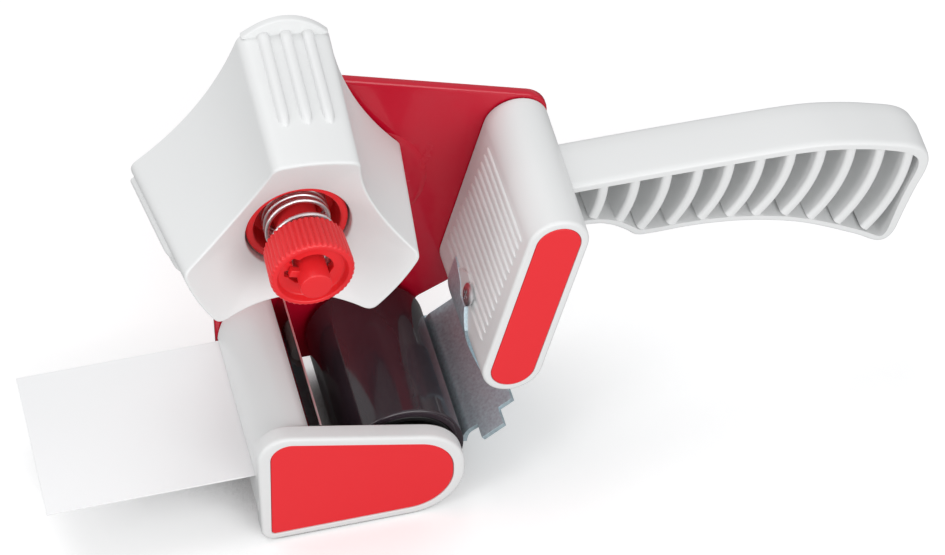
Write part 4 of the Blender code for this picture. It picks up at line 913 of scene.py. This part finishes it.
# Flap: a sheet of springy white film that wipes the tape on to the carton, clamped on the shelf inside the hood
# by a zinc-plated strip and two screws.

flap_tip = -73.4
flap_root = -9.34
flap_near = -50.6
flap_far = -1.2
flap_half = 0.24
flap_rows = 14
flap_columns = 32
hood_mouth = -19.0
flap_free = 54.4
flap_bow = 0.5

flap_film = finish("flap_film", ((0.88, 0.885, 0.89), (0.84, 0.845, 0.85)), 9.0, (0.25, 0.4), 500.0, 0.12,
                   Specular_IOR_Level=0.45)
film = bmesh.new()
film_sides = []
for lift in (-flap_half, flap_half):
    film_sides.append([])
    for row in range(flap_rows + 1):
        y = flap_near + (flap_far - flap_near) * row / flap_rows
        line = []
        for column in range(flap_columns + 1):
            x = flap_tip + (flap_root - flap_tip) * column / flap_columns
            free = max((hood_mouth - x) / flap_free, 0.0)
            bow = flap_bow * free * free * math.cos(math.pi * (row / flap_rows - 0.5))
            line.append(film.verts.new((x, y, flap_z + bow + lift)))
        film_sides[-1].append(line)
under, over = film_sides
for row in range(flap_rows):
    for column in range(flap_columns):
        for side in film_sides:
            one, two = side[row:row + 2]
            film.faces.new((one[column], one[column + 1], two[column + 1], two[column]))
rim = [(0, column) for column in range(flap_columns)] + [(row, flap_columns) for row in range(flap_rows)]
rim += [(flap_rows - row, flap_columns - column) for row, column in rim]
for (r1, c1), (r2, c2) in zip(rim, rim[1:] + rim[:1]):
    film.faces.new((under[r1][c1], under[r2][c2], over[r2][c2], over[r1][c1]))
hand_over("tape_flap", film, flap_film, "flap", ease=0.08)

zinc_plate = finish("zinc_plate", ((0.76, 0.95, 1.0), (0.38, 0.45, 0.52)), 1100.0, (0.36, 0.5), 2600.0, 0.6,
                    metal=0.6)
eased_copy("flap_clamp", zinc_plate, 0.12)
for screw_name, screw_y in (("flap_screw_far", -10.0), ("flap_screw_near", -40.0)):
    screw(screw_name, (-12.54, screw_y, flap_z + 2.05), (0.0, 0.0, 1.0), 2.0, 1.0, 1.1, 4.4)


# Handle: one white moulding, a slanted block with a red inlay in its end and a hollow grip behind it, open towards
# the user, with curved ribs across it. Fine beads run along the block's left face. Two screws hold it to the plate.

block_far = -0.3
block_near = -47.3
block_ends = ((Vector((66.4, -13.5)), Vector((54.4, -57.6)), 9.0),
              (Vector((65.7, -13.0)), Vector((54.0, -57.4)), 8.35))
block_rim = 2.2
block_seat = -46.4
block_inlay_front = -47.35
grip_start = 73.0
grip_length = 100.9
grip_top = -11.2
grip_drop = 43.1
grip_near = -29.0
grip_far = -12.0
grip_floor = -14.7
grip_wall = 2.7
grip_end_extra = 0.9
grip_crease = -17.6
grip_draft = 0.5
grip_shares = (
    (-0.09, 0.0), (0.02, 0.0), (0.25, 0.0), (0.50, 0.006), (0.68, 0.022), (0.80, 0.072), (0.885, 0.13),
    (0.952, 0.188), (0.992, 0.262), (1.0055, 0.35), (1.0, 0.45), (0.979, 0.58), (0.957, 0.74), (0.941, 0.87),
    (0.93, 0.95), (0.912, 1.005), (0.888, 1.025), (0.86, 1.005), (0.796, 0.905), (0.65, 0.722), (0.507, 0.617),
    (0.368, 0.571), (0.235, 0.568), (0.19, 0.555), (0.158, 0.49), (0.118, 0.425), (0.065, 0.388), (-0.09, 0.37))
grip_rib_count = 11
grip_rib_first = 10.2
grip_rib_pitch = 8.74
grip_rib_closing = 0.024
grip_rib_thickness = 2.9
grip_rib_radius = 32.5
grip_rib_unrolling = 3.3


def block_at(y):
    """The block's two centres and its radius at a place along it."""
    share = (y - block_far) / (block_near - block_far)
    (far_top, far_bottom, far_radius), (near_top, near_bottom, near_radius) = block_ends
    radius = far_radius + (near_radius - far_radius) * share
    return far_top.lerp(near_top, share), far_bottom.lerp(near_bottom, share), radius


def obround(top, bottom, radius, steps=20):
    """The outline of a slot with round ends about two centres."""
    lean = math.atan2(top.y - bottom.y, top.x - bottom.x)
    outline = []
    for centre, first in ((top, lean - math.pi / 2), (bottom, lean + math.pi / 2)):
        for step in range(steps + 1):
            angle = first + math.pi * step / steps
            outline.append(centre + radius * Vector((math.cos(angle), math.sin(angle))))
    return outline


def block_ring(y, shrink=0.0, at=None):
    """The block's section at y, made smaller or set at another place where asked."""
    top, bottom, radius = block_at(y)
    return level(obround(top, bottom, radius - shrink), y if at is None else at)


block = skinned(eased_rings([
    (block_ring(block_far, 3.0), 0), (block_ring(block_far), 0.4), (block_ring(-16.0), 0), (block_ring(-32.0), 0),
    (block_ring(block_near), 1.1), (block_ring(block_near, block_rim), 0.2),
    (block_ring(block_near, block_rim, block_seat), 0.2), (block_ring(block_near, block_rim + 2.0, block_seat), 0)], 6))


def within(point, outline):
    """True if the point lies inside the closed outline."""
    inside = False
    for a, b in zip(outline, outline[1:] + outline[:1]):
        if (a.y > point.y) != (b.y > point.y) and point.x < a.x + (point.y - a.y) * (b.x - a.x) / (b.y - a.y):
            inside = not inside
    return inside


def off_the_edge(point, outline):
    """How far the point lies from the closed outline."""
    return min((point - (a + (b - a) * min(max((point - a).dot(b - a) / (b - a).length_squared, 0.0), 1.0))).length
               for a, b in zip(outline, outline[1:] + outline[:1]))


grip_outline = smooth_line([(grip_start + grip_length * x, grip_top - grip_drop * z) for x, z in grip_shares], 8)
hollow_outline = [point for point in inset(grip_outline, grip_wall)
                  if off_the_edge(point, grip_outline) > grip_wall * 0.985]
for point in hollow_outline:
    point.x -= grip_end_extra * min(max((point.x - grip_start - grip_length + 14.0) / 9.0, 0.0), 1.0)
for _ in range(10):
    hollow_outline = [(before + here * 2 + after) / 4 for before, here, after in zip(
        hollow_outline[-1:] + hollow_outline[:-1], hollow_outline, hollow_outline[1:] + hollow_outline[:1])]
nose = eased_rings([
    (level(inset(grip_outline, 2.5), grip_far), 0), (level(inset(grip_outline, 0.8), grip_far), 1.8),
    (level(grip_outline, grip_crease), 0), (level(inset(grip_outline, grip_draft), grip_near), 2.0),
    (level(inset(grip_outline, grip_wall - 0.3), grip_near), 0)], 7)
grip = bmesh.new()
grip_loops = [[grip.verts.new(point) for point in ring] for ring in nose]
bridged(grip, grip_loops)
grip.faces.new(grip_loops[0])
lip, foot_loop = ([grip.verts.new(point) for point in level(hollow_outline, y)] for y in (grip_near, grip_floor))
bridged(grip, [lip, foot_loop])
grip.faces.new(foot_loop)
rim_edges = [grip.edges.get((loop[index - 1], loop[index]))
             for loop in (grip_loops[-1], lip) for index in range(len(loop))]
bmesh.ops.triangle_fill(grip, edges=rim_edges, use_beauty=True)

rib_lines = bmesh.new()
rib_room = inset(grip_outline, grip_wall - 0.35)
for index in range(grip_rib_count):
    top_x = grip_start + grip_rib_first + grip_rib_pitch * index - grip_rib_closing * index * index
    top_z = max(point.y for point in grip_outline if abs(point.x - top_x) < 2.2) - grip_wall * 0.9
    radius = grip_rib_radius + max(index - 6, 0) * grip_rib_unrolling
    runs = [[]]
    for angle in map(math.radians, range(61)):
        spot = Vector((top_x - radius * (1 - math.cos(angle)), top_z + 1.0 - radius * math.sin(angle)))
        if within(spot, rib_room):
            runs[-1].append(spot)
        elif runs[-1]:
            runs.append([])
    spots = [rib_lines.verts.new((spot.x, 0.0, spot.y)) for spot in max(runs, key=len)]
    for pair in zip(spots, spots[1:]):
        rib_lines.edges.new(pair)

rib_tree, sizes_in, shape_out = new_tree("curved_ribs", {"Thickness": 1.9, "Depth": 14.0, "Edge": 0.5})
section = add(rib_tree, "GeometryNodeCurvePrimitiveQuadrilateral", {
    "Width": sizes_in["Depth"], "Height": sizes_in["Thickness"]})
softened = add(rib_tree, "GeometryNodeFilletCurve", {
    "Count": 4, "Curve": section.outputs["Curve"], "Radius": sizes_in["Edge"]}, mode="POLY")
finish_tree(rib_tree, sizes_in, shape_out, swept(rib_tree, sizes_in["Geometry"], softened.outputs["Curve"]))
rib_near, rib_far = -28.7, -14.2
grip_ribs = grown(rib_tree, white_plastic, {
    "Thickness": grip_rib_thickness, "Depth": rib_far - rib_near, "Edge": 1.1}, rib_lines)
grip_ribs.transform(Matrix.Translation((0.0, (rib_near + rib_far) / 2, 0.0)))

bead_tree, sizes_in, shape_out = new_tree("block_beads", {"Width": 1.5, "Height": 0.5})
ball = add(bead_tree, "GeometryNodeMeshUVSphere", {"Segments": 16, "Rings": 28, "Radius": 1.0}).outputs["Mesh"]
x, y, z = coordinates(bead_tree)
around = maths(bead_tree, "SQRT", maths(bead_tree, "ADD", times(bead_tree, x, x), times(bead_tree, y, y)))
full = maths(bead_tree, "SQRT", maths(bead_tree, "MAXIMUM", 0.0, maths(
    bead_tree, "SUBTRACT", 1.0, maths(bead_tree, "POWER", maths(bead_tree, "ABSOLUTE", z), 16.0))))
fatter = maths(bead_tree, "DIVIDE", full, maths(bead_tree, "MAXIMUM", around, 0.0001))
bead = put_at(bead_tree, ball, times(bead_tree, z, 0.5), times(bead_tree, y, fatter, sizes_in["Width"], 0.5),
              times(bead_tree, x, fatter, sizes_in["Height"]))
bead_turns, bead_lengths = (add(
    bead_tree, "GeometryNodeInputNamedAttribute", {"Name": label}, data_type="FLOAT_VECTOR").outputs["Attribute"]
    for label in ("turn", "stretch"))
laid = add(bead_tree, "GeometryNodeInstanceOnPoints", {
    "Points": sizes_in["Geometry"], "Instance": bead, "Rotation": bead_turns, "Scale": bead_lengths})
finish_tree(bead_tree, sizes_in, shape_out, laid.outputs["Instances"])


def on_block_face(down_share, y):
    """A point on the block's left face, with the directions out of it and down it."""
    top, bottom, radius = block_at(y)
    down = (bottom - top).normalized()
    out = Vector((down.y, -down.x))
    place = top.lerp(bottom, down_share) + out * radius
    return Vector((place.x, y, place.y)), Vector((out.x, 0.0, out.y)), Vector((down.x, 0.0, down.y))


bead_count = 14
bead_first = (0.06, 0.15, 0.91)
bead_last = (0.90, 0.05, 0.87)
bead_spots = bmesh.new()
stretch_layer = bead_spots.verts.layers.float_vector.new("stretch")
turn_layer = bead_spots.verts.layers.float_vector.new("turn")
for index in range(bead_count):
    down_share, *end_shares = (first + (last - first) * (index / (bead_count - 1))
                               for first, last in zip(bead_first, bead_last))
    ends = [on_block_face(down_share, block_far + (block_near - block_far) * share) for share in end_shares]
    along = ends[1][0] - ends[0][0]
    up = ends[0][1]
    side = up.cross(along).normalized()
    up = along.cross(side).normalized()
    spot = bead_spots.verts.new((ends[0][0] + ends[1][0]) / 2)
    spot[stretch_layer] = Vector((along.length, 1.0, 1.0))
    spot[turn_layer] = Vector(Matrix((along.normalized(), side, up)).transposed().to_euler())
beads = grown(bead_tree, white_plastic, {"Width": 1.55, "Height": 0.52}, bead_spots)

pad_shares = ((0.28, 1.02), (0.24, 0.95), (0.33, 0.85), (0.47, 0.755), (0.58, 0.775), (0.64, 0.85), (0.60, 0.862),
              (0.44, 0.97), (0.37, 1.02))
block_length = 47.0
block_height = 45.6
pad_rings = []
for lift, shrink in ((-2.0, 0.0), (0.55, 0.0), (0.8, 0.3)):
    pad_outline = inset(rounded([(x * block_length, -z * block_height, 0.8) for x, z in pad_shares], 4), shrink)
    pad_rings.append([])
    for y_in, down in pad_outline:
        place, out, fall = on_block_face(-down / block_height, block_far - y_in)
        pad_rings[-1].append(place + out * lift)
pad = skinned(pad_rings)
hand_over("handle", together([block, grip, grip_ribs, beads, pad]), white_plastic, sharp=38.0)

top, bottom, radius = block_at(block_near)
hand_over("handle_inlay", inlay(obround(top, bottom, radius - block_rim - inlay_gap), block_inlay_front), inlay_red)
block_top, block_bottom = block_ends[0][:2]
for screw_name, share in (("handle_screw_upper", 0.28), ("handle_screw_lower", 0.74)):
    spot = block_top.lerp(block_bottom, share)
    screw(screw_name, (spot.x, 1.5, spot.y), (0.0, 1.0, 0.0), 4.2, 2.0, 2.1, 11.0)
block_screw_y = -27.4
block_screw_z = -47.5
face, out, fall = on_block_face(0.0, block_screw_y)
face += fall * ((block_screw_z - face.z) / fall.z) + out * 0.8
screw("block_screw", face + out * 0.3, out, 3.2, 0.9, 1.5, 7.0)
screw("spindle_screw", (0.0, 2.4, 0.0), (0.0, 1.0, 0.0), 4.2, 2.0, 2.4, 14.4)
hand_over("spindle_washer", turned(ring_section(2.7, 6.2, 1.5, 2.1), 0.15, 64), rivet_steel)


# Bracket: 1.4 mm zinc-plated steel, folded beside the roller and riveted to the plate by its ear, with a tongue
# that runs up to the block and a stepped tab at its open end.

bracket_sheet = 1.4
bracket_line = ((40.2, -91.0), (40.2, -87.5), (40.25, -84.5), (40.7, -82.1), (41.8, -80.3), (43.4, -79.2),
                (46.8, -76.85), (50.46, -74.25), (54.2, -71.6))
tab_line = ((44.52, -78.47), (50.46, -74.25))
leaf_reaches = ((bracket_line[:4], -36.0, -2.0), (bracket_line[2:8], -46.0, -2.0), (bracket_line[7:], -45.2, -2.0),
                (tab_line, -51.0, -45.0))
tongue_line = ((49.6, -75.4), (48.2, -71.4), (46.6, -66.4), (45.3, -61.4), (44.75, -57.2), (45.2, -53.8), (46.8, -47.8))
tongue_trim = ((-31.6, -79.5), (-31.6, -57.0), (-28.7, -54.0), (-27.2, -52.0), (-23.0, -52.0), (-20.0, -49.5),
               (-12.4, -47.4), (-12.4, -79.5))

bracket_parts = [pushed(strip(smooth_line(line, 6), bracket_sheet), near, far) for line, near, far in leaf_reaches]
bracket_parts.append(pushed(bar(30.5, 40.9, -91.0, -82.6), -1.7, -0.3))
bracket_parts.append(pushed(bar(40.2, 41.6, -91.0, -82.6), -3.0, -0.3))
trim_sides = [[Vector((x, y, z)) for y, z in tongue_trim] for x in (30.0, 60.0)]
outside_trim = cut(pushed(bar(30.5, 59.5, -79.4, -40.0), -40.0, -5.0), [skinned(trim_sides)])
bracket_parts.append(cut(pushed(strip(smooth_line(tongue_line, 6), bracket_sheet), -31.4, -12.4), [outside_trim]))
hand_over("lower_bracket", together(bracket_parts), zinc_plate, ease=0.3)
for rivet_name, rivet_z in (("bracket_rivet_1", -84.5), ("bracket_rivet_2", -88.7)):
    rivet = grown(rivet_tree, rivet_steel, {"Head": 1.9, "Height": 0.5, "Shank": 1.2, "Grip": 3.5})
    hand_over(rivet_name, stood(rivet, (35.0, -2.0, rivet_z), (0.0, 1.0, 0.0)), rivet_steel)
